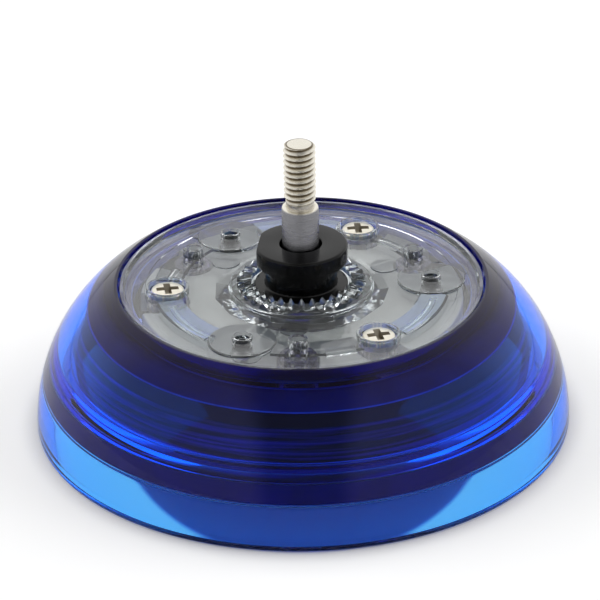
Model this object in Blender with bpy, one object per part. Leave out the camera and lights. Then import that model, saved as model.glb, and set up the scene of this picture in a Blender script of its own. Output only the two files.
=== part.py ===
"""One half of a take-apart, light-up yo-yo, lying on its outer face with the axle pointing up.

The origin is the centre of the rim that the half rests on, and +Z runs along the axle.
Sizes are written in millimetres times MM, which gives metres.
"""
import math

import bmesh
import bpy
from mathutils import Matrix, Vector

MM = 0.001

# Clearances
FIT = 0.3 * MM  # between pieces that seat on or in each other
EMBED = 0.25 * MM  # how far a boss is sunk into what carries it before the two are joined
CUT_PAST = 1.0 * MM  # how far a cutter runs past the face that it opens

# Shell
BODY_RADIUS = 35.0 * MM
FLANK_RADIUS = 23.2 * MM  # radius of the outer flank's arc, in section
EDGE_ROUND = 0.6 * MM
WALL = 2.2 * MM
SKIRT_WALL = 2.0 * MM
LIP_WALL = 0.4 * MM
LIP_PROUD = 0.2 * MM  # the lip stands this far above the plate's rim
SEAT_WIDTH = 1.9 * MM  # ledge that carries the plate
SEAT_THICKNESS = 2.2 * MM
CAP_SEAT_WALL = 1.6 * MM
SHOULDER_WIDTH = 2.6 * MM  # inner shoulder that the face cap stops against
SHOULDER_HEIGHT = 1.5 * MM

# Face cap, recessed into the outer face
RECESS_DEPTH = 5.3 * MM
CAP_THICKNESS = 2.4 * MM
CAP_BORDER = 5.0 * MM
CAP_DISH = 0.6 * MM
HUB_TUBE_WALL = 1.5 * MM
POST_WALL = 1.3 * MM
SOCKET_WALL = 0.8 * MM
SOCKET_DROP = 0.6 * MM  # from the plate's underside to a socket's mouth

# Light module, stacked on the face cap
BASE_FLOOR = 1.2 * MM
BASE_WALL = 0.9 * MM
BASE_RIM = 4.1 * MM  # height of the tray's rim above its floor
BASE_FLANGE = 0.8 * MM  # thickness of the flange and turned-down edge that centre the tray in the shell
BOARD_THICKNESS = 1.0 * MM
BATTERY_HEIGHT = 3.6 * MM
BATTERY_MARGIN = 1.1 * MM  # from a battery to the board's inner and outer edges
BATTERY_STEP = 0.43 * MM  # chamfer of the can and step round its other pole
CLIP_THICKNESS = 0.2 * MM
CLIP_WIDTH = 2.4 * MM
CLIP_REACH = 4.4 * MM
COVER_THICKNESS = 1.1 * MM
COVER_WALL = 0.9 * MM
MODULE_GAP = 1.0 * MM  # between the module's edge and the plate's seat

# Inner plate
RIB_DEPTH = 0.7 * MM
RIB_WIDTH = 1.0 * MM
PLATE_THICKNESS = 1.4 * MM
RIM_RISE = 0.7 * MM
RIM_WIDTH = 0.5 * MM
RIM_SLOPE = 0.2 * MM
PAD_RADIUS = 4.4 * MM
PAD_RISE = 0.35 * MM
PORT_RADIUS = 0.95 * MM
PORT_WALL = 0.35 * MM
PORT_RISE = 0.9 * MM
PEG_RADIUS = 1.3 * MM
PEG_BORE = 0.75 * MM
PEG_RISE = 1.25 * MM
PEG_DEPTH = 2.3 * MM  # below the plate's underside
BOSS_WALL = 0.35 * MM
BOSS_RISE = 0.8 * MM
BOSS_FLOOR = 0.7 * MM  # plate left under a screw's head

# Grip ring
TOOTH_COUNT = 30
RING_WALL = 1.45 * MM  # outside the hub's pocket
RING_PLAY = 0.45 * MM  # round the spool
RING_SHOULDER = 0.95 * MM  # plain border outside the teeth
RING_RISE = 0.5 * MM  # of that border above the plate's floor
TOOTH_INNER_RISE = 1.5 * MM  # ridges above the plate's floor
TOOTH_OUTER_RISE = 0.95 * MM
TOOTH_DEPTH = 0.45 * MM
TOOTH_OUTER_DEPTH = 0.3 * MM
FLARE_WIDTH = 2.0 * MM  # low cone that carries the ring under the plate
HUB_BOSS_DEPTH = 3.7 * MM

# Three-fold layout, angles in degrees from +X
FOLDS = 3
SCREW_INSET = 4.6 * MM  # from the bore of the plate's seat inwards
SCREW_ANGLE = 63.7
PORT_INSET = 5.05 * MM
PORT_ANGLE = 3.5
PEG_INSET = 5.2 * MM
PEG_ANGLE = 28.2
BATTERY_ANGLE = 93.5

# Screws
HEAD_RADIUS = 2.15 * MM
HEAD_HEIGHT = 0.9 * MM
HEAD_ROUND = 0.3 * MM
CROSS_LENGTH = 2.9 * MM
CROSS_WIDTH = 0.7 * MM
CROSS_DEPTH = 0.6 * MM
SHANK_RADIUS = 1.0 * MM
SHANK_LENGTH = 7.0 * MM

# Axle and its fastening
SHOULDER_RADIUS = 2.38 * MM  # 3/16 inch across
THREAD_RADIUS = 2.08 * MM  # number 8 thread
THREAD_PITCH = 0.794 * MM
THREAD_DEPTH = 0.43 * MM
THREAD_LENGTH = 7.45 * MM
NECK_LENGTH = 1.3 * MM  # plain stretch between the shoulder and the thread
NECK_DEPTH = 0.28 * MM  # below the thread's crests
SHOULDER_PROUD = 5.3 * MM  # above the spool
TIP_CHAMFER = 0.55 * MM
SHOULDER_CHAMFER = 0.25 * MM
STUD_RADIUS = 1.9 * MM  # lower end, in the nut
NUT_FLATS = 8.0 * MM
NUT_HEIGHT = 2.0 * MM
WASHER_RADIUS = 4.4 * MM
WASHER_THICKNESS = 0.5 * MM
HUB_FLATS = 13.0 * MM
HUB_DROP = 0.4 * MM  # from the plate's underside down to the hub's top

# Spool
SPOOL_RADIUS = 6.05 * MM
SPOOL_NECK = 4.65 * MM
SPOOL_PLAY = 0.37 * MM
LOWER_FLANGE = 2.1 * MM
STRING_GAP = 3.3 * MM
UPPER_FLANGE = 2.3 * MM
FLANGE_CHAMFER = 0.3 * MM
FLANGE_FLAT = 0.63 * MM  # depth of the flat on the upper flange
FLAT_ANGLE = 173.0

# Parts on the board
LED_RADIUS = 1.5 * MM
LED_FLANGE = 0.25 * MM
LED_FLANGE_HEIGHT = 0.5 * MM
LED_BARREL = 2.0 * MM
LEAD_RADIUS = 0.25 * MM
LEAD_SPACING = 2.54 * MM
LEAD_DEPTH = 0.8 * MM
CHIP_SIDE = 2.6 * MM
CHIP_HEIGHT = 1.1 * MM
CHIP_BEVEL = 0.15 * MM
CHIP_ANGLE = 45.75
RESISTOR_LENGTH = 3.2 * MM
RESISTOR_WIDTH = 1.6 * MM
RESISTOR_HEIGHT = 0.6 * MM
RESISTOR_ANGLE = 285.75

# Centrifugal switch
SWITCH_ANGLE = 165.75
SWITCH_TRAVEL = 1.0 * MM
WEIGHT_LENGTH = 1.6 * MM
WEIGHT_WIDTH = 1.2 * MM
WEIGHT_HEIGHT = 1.4 * MM
GUIDE_WALL = 0.3 * MM
GUIDE_FLOOR = 0.4 * MM
CONTACT_RADIUS = 0.35 * MM

# Heights, from the rim upwards
CAP_TOP = RECESS_DEPTH + CAP_THICKNESS
BASE_BOTTOM = CAP_TOP + FIT
BASE_TOP = BASE_BOTTOM + BASE_FLOOR
BOARD_BOTTOM = BASE_TOP + FIT
BOARD_TOP = BOARD_BOTTOM + BOARD_THICKNESS
PARTS_BOTTOM = BOARD_TOP + FIT
BATTERY_TOP = PARTS_BOTTOM + BATTERY_HEIGHT
CLIP_BOTTOM = BATTERY_TOP + FIT
COVER_UNDERSIDE = CLIP_BOTTOM + CLIP_THICKNESS + FIT
COVER_TOP = COVER_UNDERSIDE + COVER_THICKNESS
RIB_BOTTOM = COVER_TOP + FIT
PLATE_UNDERSIDE = RIB_BOTTOM + RIB_DEPTH
PLATE_FLOOR = PLATE_UNDERSIDE + PLATE_THICKNESS
RIM_TOP = PLATE_FLOOR + RIM_RISE
LIP_HEIGHT = RIM_TOP + LIP_PROUD
SEAT_HEIGHT = PLATE_UNDERSIDE - FIT
HUB_TOP = PLATE_UNDERSIDE - HUB_DROP
NUT_BOTTOM = CAP_TOP + FIT
WASHER_BOTTOM = NUT_BOTTOM + NUT_HEIGHT + FIT
HUB_BOTTOM = WASHER_BOTTOM + WASHER_THICKNESS + FIT
HEAD_SEAT = PLATE_UNDERSIDE + BOSS_FLOOR + FIT
SPOOL_BOTTOM = HUB_TOP + FIT
LOWER_FLANGE_TOP = SPOOL_BOTTOM + LOWER_FLANGE
UPPER_FLANGE_BOTTOM = LOWER_FLANGE_TOP + STRING_GAP
SPOOL_TOP = UPPER_FLANGE_BOTTOM + UPPER_FLANGE
SHOULDER_TOP = SPOOL_TOP + SHOULDER_PROUD
THREAD_BOTTOM = SHOULDER_TOP + NECK_LENGTH
AXLE_TOP = THREAD_BOTTOM + THREAD_LENGTH
WEIGHT_BOTTOM = PARTS_BOTTOM + GUIDE_FLOOR + FIT
WEIGHT_TOP = WEIGHT_BOTTOM + WEIGHT_HEIGHT


def flank(height, radius):
    """Distance from the axis of an arc that is concentric with the outer flank, at a height."""
    return BODY_RADIUS - FLANK_RADIUS + math.sqrt(radius ** 2 - height ** 2)


def flank_height(distance, radius):
    """Height at which such an arc is at a distance from the axis."""
    return math.sqrt(radius ** 2 - (distance - BODY_RADIUS + FLANK_RADIUS) ** 2)


# Radii that follow from the pieces that fit each other
LIP_BORE = flank(LIP_HEIGHT, FLANK_RADIUS) - LIP_WALL
PLATE_RADIUS = LIP_BORE - FIT
SEAT_BORE = LIP_BORE - SEAT_WIDTH
MODULE_RADIUS = SEAT_BORE - MODULE_GAP
SCREW_CIRCLE = SEAT_BORE - SCREW_INSET
PORT_CIRCLE = SEAT_BORE - PORT_INSET
PEG_CIRCLE = SEAT_BORE - PEG_INSET
CAP_BORE = flank(CAP_TOP + FIT, FLANK_RADIUS) - CAP_SEAT_WALL
CAP_RADIUS = CAP_BORE - FIT
SHOULDER_BORE = CAP_BORE - SHOULDER_WIDTH
POCKET_FLATS = HUB_FLATS + 2 * FIT
RING_RADIUS = POCKET_FLATS / math.sqrt(3) + RING_WALL
SPOOL_WELL = SPOOL_RADIUS + RING_PLAY
MODULE_BORE = RING_RADIUS + FIT
TUBE_BORE = max(NUT_FLATS / math.sqrt(3), WASHER_RADIUS) + FIT
SCREW_BORE = SHANK_RADIUS + FIT
POST_RADIUS = SCREW_BORE + POST_WALL
SOCKET_BORE = PEG_RADIUS + FIT
SOCKET_RADIUS = SOCKET_BORE + SOCKET_WALL
HEAD_BORE = HEAD_RADIUS + FIT
BOARD_RADIUS = MODULE_RADIUS - BASE_WALL - FIT
BOARD_CIRCLE = (BOARD_RADIUS + MODULE_BORE) / 2  # middle of the board's ring
BATTERY_RADIUS = (BOARD_RADIUS - MODULE_BORE) / 2 - BATTERY_MARGIN

# Facets round a turned piece
LARGE_FACETS = 64
MEDIUM_FACETS = 28
SMALL_FACETS = 16
TINY_FACETS = 10
FLANK_STEPS = 10
INNER_STEPS = 4
ROUND_STEPS = 2
DOME_STEPS = 4
RIB_STEP = 6.0  # degrees between the points of a curved rib
THREAD_FACETS = 16
THREAD_ROWS = 4  # rows of points for each turn of the thread
SHARP_EDGE = math.radians(32)
FLAT_LIMIT = 0.001 * MM  # a face bent by more than this is split into triangles
SAME_POINT = 0.0005 * MM  # corners closer than this are one corner

COLOURS = {
    "shell_blue": ((0.02, 0.09, 0.75), 0.06, 0.0, 0.85),
    "cap_blue": ((0.02, 0.07, 0.62), 0.08, 0.0, 0.85),
    "clear_plate": ((0.93, 0.95, 0.97), 0.05, 0.0, 0.95),
    "screw_nickel": ((0.80, 0.76, 0.66), 0.25, 1.0, 0.0),
    "axle_steel": ((0.62, 0.60, 0.57), 0.30, 1.0, 0.0),
    "hub_black": ((0.02, 0.02, 0.022), 0.40, 0.0, 0.0),
    "washer_steel": ((0.60, 0.60, 0.62), 0.35, 1.0, 0.0),
    "nut_steel": ((0.58, 0.58, 0.60), 0.35, 1.0, 0.0),
    "spool_black": ((0.015, 0.015, 0.017), 0.28, 0.0, 0.0),
    "base_black": ((0.02, 0.02, 0.025), 0.45, 0.0, 0.0),
    "cover_grey": ((0.55, 0.57, 0.57), 0.40, 0.0, 0.0),
    "board_green": ((0.04, 0.22, 0.10), 0.50, 0.0, 0.0),
    "led_clear": ((0.80, 0.88, 1.00), 0.08, 0.0, 0.8),
    "battery_steel": ((0.75, 0.75, 0.76), 0.25, 1.0, 0.0),
    "clip_nickel": ((0.70, 0.68, 0.62), 0.30, 1.0, 0.0),
    "chip_black": ((0.03, 0.03, 0.03), 0.55, 0.0, 0.0),
    "resistor_dark": ((0.05, 0.05, 0.06), 0.50, 0.0, 0.0),
    "guide_white": ((0.82, 0.82, 0.80), 0.45, 0.0, 0.0),
    "switch_brass": ((0.78, 0.60, 0.28), 0.30, 1.0, 0.0),
}


# Modelling helpers
def make_material(name):
    colour, roughness, metallic, transmission = COLOURS[name]
    material = bpy.data.materials.new(name)
    material.use_nodes = True
    shader = material.node_tree.nodes["Principled BSDF"]
    shader.inputs["Base Color"].default_value = (*colour, 1.0)
    shader.inputs["Roughness"].default_value = roughness
    shader.inputs["Metallic"].default_value = metallic
    shader.inputs["Transmission Weight"].default_value = transmission
    return material


def add_object(name, bm):
    bmesh.ops.recalc_face_normals(bm, faces=bm.faces)
    mesh = bpy.data.meshes.new(name)
    bm.to_mesh(mesh)
    bm.free()
    piece = bpy.data.objects.new(name, mesh)
    bpy.context.collection.objects.link(piece)
    return piece


def is_flat(face):
    centre = face.calc_center_median()
    return all(abs((vert.co - centre).dot(face.normal)) < FLAT_LIMIT for vert in face.verts)


def turned(name, outline, facets):
    """A closed outline of (radius, height) points turned about Z.

    A point on the axis becomes a pole. A height given as a pair alternates from facet to facet.
    """
    bm = bmesh.new()
    rings = []
    for radius, height in outline:
        if radius == 0:
            rings.append([bm.verts.new((0, 0, height))] * facets)
            continue
        ring = []
        for index in range(facets):
            angle = 2 * math.pi * index / facets
            level = height[index % 2] if isinstance(height, tuple) else height
            ring.append(bm.verts.new((radius * math.cos(angle), radius * math.sin(angle), level)))
        rings.append(ring)
    for ring, following in zip(rings, rings[1:] + rings[:1]):
        for index in range(facets):
            after = (index + 1) % facets
            corners = (ring[index], ring[after], following[after], following[index])
            distinct = list(dict.fromkeys(corners))
            if len(distinct) > 2:
                bm.faces.new(distinct)
    bm.normal_update()
    bmesh.ops.triangulate(bm, faces=[face for face in bm.faces if not is_flat(face)])
    return add_object(name, bm)


def rod(name, radius, bottom, top, facets):
    return turned(name, [(0, top), (radius, top), (radius, bottom), (0, bottom)], facets)


def tube(name, bore, radius, bottom, top, facets):
    return turned(name, [(bore, top), (radius, top), (radius, bottom), (bore, bottom)], facets)


def blind_post(name, bore, bore_bottom, radius, bottom, top, facets):
    """A round post with a blind hole in its top."""
    return turned(name, [
        (0, bore_bottom),
        (bore, bore_bottom),
        (bore, top),
        (radius, top),
        (radius, bottom),
        (0, bottom),
    ], facets)


def prism(name, outline, bottom, top):
    """A flat outline of (x, y) points, extruded upwards."""
    bm = bmesh.new()
    low = [bm.verts.new((x, y, bottom)) for x, y in outline]
    high = [bm.verts.new((x, y, top)) for x, y in outline]
    bm.faces.new(reversed(low))
    bm.faces.new(high)
    for index in range(len(outline)):
        after = (index + 1) % len(outline)
        bm.faces.new((low[index], low[after], high[after], high[index]))
    return add_object(name, bm)


def slab(name, near, far, width, bottom, top):
    """A box from one distance to another along X, centred on Y."""
    side = width / 2
    return prism(name, [(near, -side), (far, -side), (far, side), (near, side)], bottom, top)


def box(name, length, width, bottom, top):
    return slab(name, -length / 2, length / 2, width, bottom, top)


def hexagon(flats):
    return arc(flats / math.sqrt(3), 0, 300, 5)


def arc(radius, start, end, steps):
    """Points (x, y) on a circle about the axis, from one angle to another, in degrees."""
    points = []
    for step in range(steps + 1):
        angle = math.radians(start + (end - start) * step / steps)
        points.append((radius * math.cos(angle), radius * math.sin(angle)))
    return points


def place(piece, circle, angle, aside=0):
    """Stands a piece on a circle about the axis, with its own +X pointing outwards."""
    turn = math.radians(angle)
    piece.location = Matrix.Rotation(turn, 3, "Z") @ Vector((circle, aside, 0))
    piece.rotation_euler = (0, 0, turn)
    return piece


def fold_angles(first):
    return [first + fold * 360 / FOLDS for fold in range(FOLDS)]


def combine(piece, tools, operation):
    """Joins tools to a piece, or cuts them out of it."""
    group = bpy.data.collections.new(operation.lower())
    bpy.context.scene.collection.children.link(group)
    for tool in tools:
        group.objects.link(tool)
    modifier = piece.modifiers.new(operation.lower(), "BOOLEAN")
    modifier.operation = operation
    modifier.solver = "EXACT"
    modifier.operand_type = "COLLECTION"
    modifier.collection = group
    evaluated = piece.evaluated_get(bpy.context.evaluated_depsgraph_get())
    mesh = bpy.data.meshes.new_from_object(evaluated)
    mesh.name = piece.name
    bm = bmesh.new()
    bm.from_mesh(mesh)
    bmesh.ops.remove_doubles(bm, verts=bm.verts, dist=SAME_POINT)
    bm.to_mesh(mesh)
    bm.free()
    piece.modifiers.clear()
    piece.data = mesh
    for tool in tools:
        bpy.data.objects.remove(tool, do_unlink=True)
    bpy.data.collections.remove(group)


def join(piece, tools):
    combine(piece, tools, "UNION")


def cut(piece, tools):
    combine(piece, tools, "DIFFERENCE")


def finish(piece, material):
    piece.data.materials.clear()
    piece.data.materials.append(material)
    piece.data.shade_smooth()
    piece.data.set_sharp_from_angle(angle=SHARP_EDGE)
    return piece


def finished(piece, material_name):
    return finish(piece, make_material(material_name))


# Outer pieces
def flank_points(radius, low, high, steps):
    """Points down an arc concentric with the outer flank, from one height to a lower one."""
    top = math.asin(high / radius)
    bottom = math.asin(low / radius)
    points = []
    for step in range(steps + 1):
        angle = top + (bottom - top) * step / steps
        points.append((BODY_RADIUS - FLANK_RADIUS + radius * math.cos(angle), radius * math.sin(angle)))
    return points


def make_shell():
    inner_arc = FLANK_RADIUS - WALL
    skirt_arc = FLANK_RADIUS - SKIRT_WALL
    shoulder_bottom = CAP_TOP + FIT
    shoulder_top = shoulder_bottom + SHOULDER_HEIGHT
    skirt_top = RECESS_DEPTH - FIT
    outline = flank_points(FLANK_RADIUS, EDGE_ROUND, LIP_HEIGHT, FLANK_STEPS)
    for step in range(1, ROUND_STEPS + 1):
        angle = math.pi / 2 * step / ROUND_STEPS
        outline.append((
            BODY_RADIUS - EDGE_ROUND + EDGE_ROUND * math.cos(angle),
            EDGE_ROUND - EDGE_ROUND * math.sin(angle),
        ))
    outline += reversed(flank_points(skirt_arc, 0, skirt_top, ROUND_STEPS))
    outline.append((CAP_BORE, skirt_top))
    outline.append((CAP_BORE, shoulder_bottom))
    outline.append((SHOULDER_BORE, shoulder_bottom))
    outline.append((SHOULDER_BORE, shoulder_top))
    outline += reversed(flank_points(inner_arc, shoulder_top, SEAT_HEIGHT - SEAT_THICKNESS, INNER_STEPS))
    outline.append((SEAT_BORE, SEAT_HEIGHT - SEAT_THICKNESS))
    outline.append((SEAT_BORE, SEAT_HEIGHT))
    outline.append((LIP_BORE, SEAT_HEIGHT))
    outline.append((LIP_BORE, LIP_HEIGHT))
    finished(turned("shell", outline, LARGE_FACETS), "shell_blue")


def make_face_cap():
    dish = CAP_RADIUS - CAP_BORDER
    cap = turned("face_cap", [
        (0, CAP_TOP),
        (CAP_RADIUS, CAP_TOP),
        (CAP_RADIUS, RECESS_DEPTH),
        (dish, RECESS_DEPTH),
        (dish - CAP_DISH, RECESS_DEPTH + CAP_DISH),
        (0, RECESS_DEPTH + CAP_DISH),
    ], LARGE_FACETS)
    root = CAP_TOP - EMBED
    raised = [tube("hub_tube", TUBE_BORE, TUBE_BORE + HUB_TUBE_WALL, root, HUB_BOTTOM - FIT, MEDIUM_FACETS)]
    for angle in fold_angles(SCREW_ANGLE):
        bore_bottom = HEAD_SEAT - SHANK_LENGTH - FIT
        post = blind_post("post", SCREW_BORE, bore_bottom, POST_RADIUS, root, SEAT_HEIGHT, SMALL_FACETS)
        raised.append(place(post, SCREW_CIRCLE, angle))
    for angle in fold_angles(PEG_ANGLE):
        bore_bottom = PLATE_UNDERSIDE - PEG_DEPTH - FIT
        mouth = PLATE_UNDERSIDE - SOCKET_DROP
        socket = blind_post("socket", SOCKET_BORE, bore_bottom, SOCKET_RADIUS, root, mouth, SMALL_FACETS)
        raised.append(place(socket, PEG_CIRCLE, angle))
    join(cap, raised)
    finished(cap, "cap_blue")


def rib(start, end):
    """A curved rib under the plate, between two angles."""
    steps = max(2, round((end - start) / RIB_STEP))
    inner = arc(SCREW_CIRCLE - RIB_WIDTH / 2, start, end, steps)
    outer = arc(SCREW_CIRCLE + RIB_WIDTH / 2, start, end, steps)
    return prism("rib", inner + outer[::-1], RIB_BOTTOM, PLATE_UNDERSIDE + EMBED)


def make_inner_plate():
    rim_inner = PLATE_RADIUS - RIM_WIDTH
    ridge_inner = PLATE_FLOOR + TOOTH_INNER_RISE
    ridge_outer = PLATE_FLOOR + TOOTH_OUTER_RISE
    tooth_end = RING_RADIUS - RING_SHOULDER
    boss_bottom = PLATE_UNDERSIDE - HUB_BOSS_DEPTH
    plate = turned("inner_plate", [
        (SPOOL_WELL, (ridge_inner - TOOTH_DEPTH, ridge_inner)),
        (tooth_end, (ridge_outer - TOOTH_OUTER_DEPTH, ridge_outer)),
        (tooth_end, PLATE_FLOOR + RING_RISE),
        (RING_RADIUS, PLATE_FLOOR + RING_RISE),
        (RING_RADIUS, PLATE_FLOOR),
        (rim_inner - RIM_SLOPE, PLATE_FLOOR),
        (rim_inner, RIM_TOP),
        (PLATE_RADIUS, RIM_TOP),
        (PLATE_RADIUS, PLATE_UNDERSIDE),
        (RING_RADIUS + FLARE_WIDTH, PLATE_UNDERSIDE),
        (RING_RADIUS, RIB_BOTTOM),
        (RING_RADIUS, boss_bottom),
        (SPOOL_WELL, boss_bottom),
    ], 2 * TOOTH_COUNT)
    root = PLATE_FLOOR - EMBED
    post_margin = math.degrees((POST_RADIUS + FIT + RIB_WIDTH / 2) / SCREW_CIRCLE)
    socket_margin = math.degrees((SOCKET_RADIUS + FIT + RIB_WIDTH / 2) / PEG_CIRCLE)
    collar_margin = math.degrees((PORT_RADIUS + PORT_WALL + RIB_WIDTH / 2) / PORT_CIRCLE)
    next_port = PORT_ANGLE + 360 / FOLDS - SCREW_ANGLE
    raised = []
    openings = [prism("pocket", hexagon(POCKET_FLATS), boss_bottom - CUT_PAST, HUB_TOP + FIT)]
    for angle in fold_angles(SCREW_ANGLE):
        boss = rod("boss", HEAD_BORE + BOSS_WALL, root, PLATE_FLOOR + BOSS_RISE, SMALL_FACETS)
        raised.append(place(boss, SCREW_CIRCLE, angle))
        raised.append(rib(angle + post_margin, angle + next_port - collar_margin))
        raised.append(rib(angle + PEG_ANGLE - SCREW_ANGLE + socket_margin, angle - post_margin))
        counterbore = rod("counterbore", HEAD_BORE, HEAD_SEAT - FIT, LIP_HEIGHT + CUT_PAST, SMALL_FACETS)
        openings.append(place(counterbore, SCREW_CIRCLE, angle))
        hole = rod("hole", SCREW_BORE, PLATE_UNDERSIDE - CUT_PAST, HEAD_SEAT, SMALL_FACETS)
        openings.append(place(hole, SCREW_CIRCLE, angle))
    for angle in fold_angles(PORT_ANGLE):
        pad = rod("pad", PAD_RADIUS, root, PLATE_FLOOR + PAD_RISE, MEDIUM_FACETS)
        raised.append(place(pad, PORT_CIRCLE, angle))
        collar = rod("collar", PORT_RADIUS + PORT_WALL, RIB_BOTTOM, PLATE_FLOOR + PORT_RISE, SMALL_FACETS)
        raised.append(place(collar, PORT_CIRCLE, angle))
        port = rod("port", PORT_RADIUS, RIB_BOTTOM - CUT_PAST, LIP_HEIGHT + CUT_PAST, SMALL_FACETS)
        openings.append(place(port, PORT_CIRCLE, angle))
    for angle in fold_angles(PEG_ANGLE):
        peg_bottom = PLATE_UNDERSIDE - PEG_DEPTH
        peg = rod("peg", PEG_RADIUS, peg_bottom, PLATE_FLOOR + PEG_RISE, SMALL_FACETS)
        raised.append(place(peg, PEG_CIRCLE, angle))
        bore = rod("bore", PEG_BORE, peg_bottom - CUT_PAST, LIP_HEIGHT + CUT_PAST, TINY_FACETS)
        openings.append(place(bore, PEG_CIRCLE, angle))
    join(plate, raised)
    cut(plate, openings)
    finished(plate, "clear_plate")


def make_screws():
    material = make_material("screw_nickel")
    head_top = HEAD_SEAT + HEAD_HEIGHT
    for number, angle in enumerate(fold_angles(SCREW_ANGLE), start=1):
        screw = turned(f"plate_screw_{number}", [
            (0, head_top),
            (HEAD_RADIUS - HEAD_ROUND, head_top),
            (HEAD_RADIUS, head_top - HEAD_ROUND),
            (HEAD_RADIUS, HEAD_SEAT),
            (SHANK_RADIUS, HEAD_SEAT),
            (SHANK_RADIUS, HEAD_SEAT - SHANK_LENGTH + SHANK_RADIUS),
            (0, HEAD_SEAT - SHANK_LENGTH),
        ], SMALL_FACETS)
        slot_bottom = head_top - CROSS_DEPTH
        slot = box("slot", CROSS_LENGTH, CROSS_WIDTH, slot_bottom, head_top + CUT_PAST)
        cross_slot = box("cross_slot", CROSS_WIDTH, CROSS_LENGTH, slot_bottom, head_top + CUT_PAST)
        join(slot, [cross_slot])
        cut(screw, [slot])
        finish(place(screw, SCREW_CIRCLE, angle), material)


# Axle group
def thread_radius(height, angle):
    """Distance of the thread's surface from the axis: a right-handed ridge with rounded crests."""
    phase = (height / THREAD_PITCH - angle / (2 * math.pi)) % 1.0
    ridge = 0.5 - 0.5 * math.cos(2 * math.pi * phase)
    return THREAD_RADIUS - THREAD_DEPTH * (1 - ridge)


def make_axle():
    neck = THREAD_RADIUS - NECK_DEPTH
    tip = THREAD_RADIUS - TIP_CHAMFER
    plain_rows = [
        (NUT_BOTTOM, STUD_RADIUS - SHOULDER_CHAMFER),
        (NUT_BOTTOM + SHOULDER_CHAMFER, STUD_RADIUS),
        (HUB_BOTTOM, STUD_RADIUS),
        (HUB_BOTTOM, SHOULDER_RADIUS),
        (SHOULDER_TOP - SHOULDER_CHAMFER, SHOULDER_RADIUS),
        (SHOULDER_TOP, SHOULDER_RADIUS - SHOULDER_CHAMFER),
        (SHOULDER_TOP, neck),
        (THREAD_BOTTOM, neck),
    ]
    thread_end = AXLE_TOP - TIP_CHAMFER
    row_count = max(2, round((thread_end - THREAD_BOTTOM) / THREAD_PITCH * THREAD_ROWS))
    bm = bmesh.new()
    rings = []
    angles = [2 * math.pi * index / THREAD_FACETS for index in range(THREAD_FACETS)]

    def add_ring(height, radius_at):
        ring = []
        for angle in angles:
            radius = radius_at(angle)
            ring.append(bm.verts.new((radius * math.cos(angle), radius * math.sin(angle), height)))
        rings.append(ring)

    for height, radius in plain_rows:
        add_ring(height, lambda angle: radius)
    for row in range(1, row_count + 1):
        height = THREAD_BOTTOM + (thread_end - THREAD_BOTTOM) * row / row_count
        add_ring(height, lambda angle: thread_radius(height, angle))
    add_ring(AXLE_TOP, lambda angle: tip)
    bm.faces.new(reversed(rings[0]))
    bm.faces.new(rings[-1])
    for ring, above in zip(rings, rings[1:]):
        for index in range(THREAD_FACETS):
            after = (index + 1) % THREAD_FACETS
            bm.faces.new((ring[index], ring[after], above[after], above[index]))
    finished(add_object("axle", bm), "axle_steel")


def make_hub():
    hub = prism("axle_hub", hexagon(HUB_FLATS), HUB_BOTTOM, HUB_TOP)
    bore = rod("bore", SHOULDER_RADIUS + FIT, HUB_BOTTOM - CUT_PAST, HUB_TOP + CUT_PAST, MEDIUM_FACETS)
    cut(hub, [bore])
    finished(hub, "hub_black")


def make_axle_fastening():
    washer_top = WASHER_BOTTOM + WASHER_THICKNESS
    washer = tube("axle_washer", STUD_RADIUS + FIT, WASHER_RADIUS, WASHER_BOTTOM, washer_top, MEDIUM_FACETS)
    finished(washer, "washer_steel")
    nut_top = NUT_BOTTOM + NUT_HEIGHT
    nut = prism("axle_nut", hexagon(NUT_FLATS), NUT_BOTTOM, nut_top)
    cut(nut, [rod("bore", STUD_RADIUS + FIT, NUT_BOTTOM - CUT_PAST, nut_top + CUT_PAST, SMALL_FACETS)])
    finished(nut, "nut_steel")


def make_spool():
    bore = SHOULDER_RADIUS + SPOOL_PLAY
    spool = turned("spool", [
        (bore, SPOOL_TOP),
        (SPOOL_RADIUS - FLANGE_CHAMFER, SPOOL_TOP),
        (SPOOL_RADIUS, SPOOL_TOP - FLANGE_CHAMFER),
        (SPOOL_RADIUS, UPPER_FLANGE_BOTTOM),
        (SPOOL_NECK, UPPER_FLANGE_BOTTOM),
        (SPOOL_NECK, LOWER_FLANGE_TOP),
        (SPOOL_RADIUS, LOWER_FLANGE_TOP),
        (SPOOL_RADIUS, SPOOL_BOTTOM),
        (bore, SPOOL_BOTTOM),
    ], MEDIUM_FACETS)
    width = 2 * SPOOL_RADIUS
    flat = box("flat", width, width, UPPER_FLANGE_BOTTOM - STRING_GAP / 2, SPOOL_TOP + CUT_PAST)
    cut(spool, [place(flat, SPOOL_RADIUS - FLANGE_FLAT + width / 2, FLAT_ANGLE)])
    finished(spool, "spool_black")


# Light module
def notch(circle, angle, radius):
    """A cutter round a post that opens outwards through the module's edge."""
    reach = MODULE_RADIUS - circle + CUT_PAST
    outline = arc(radius, 90, 270, SMALL_FACETS // 2)
    outline += [(reach, -radius), (reach, radius)]
    return place(prism("notch", outline, CAP_TOP - CUT_PAST, LIP_HEIGHT), circle, angle)


def module_notches():
    notches = [notch(SCREW_CIRCLE, angle, POST_RADIUS + FIT) for angle in fold_angles(SCREW_ANGLE)]
    return notches + [notch(PEG_CIRCLE, angle, SOCKET_RADIUS + FIT) for angle in fold_angles(PEG_ANGLE)]


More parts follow.
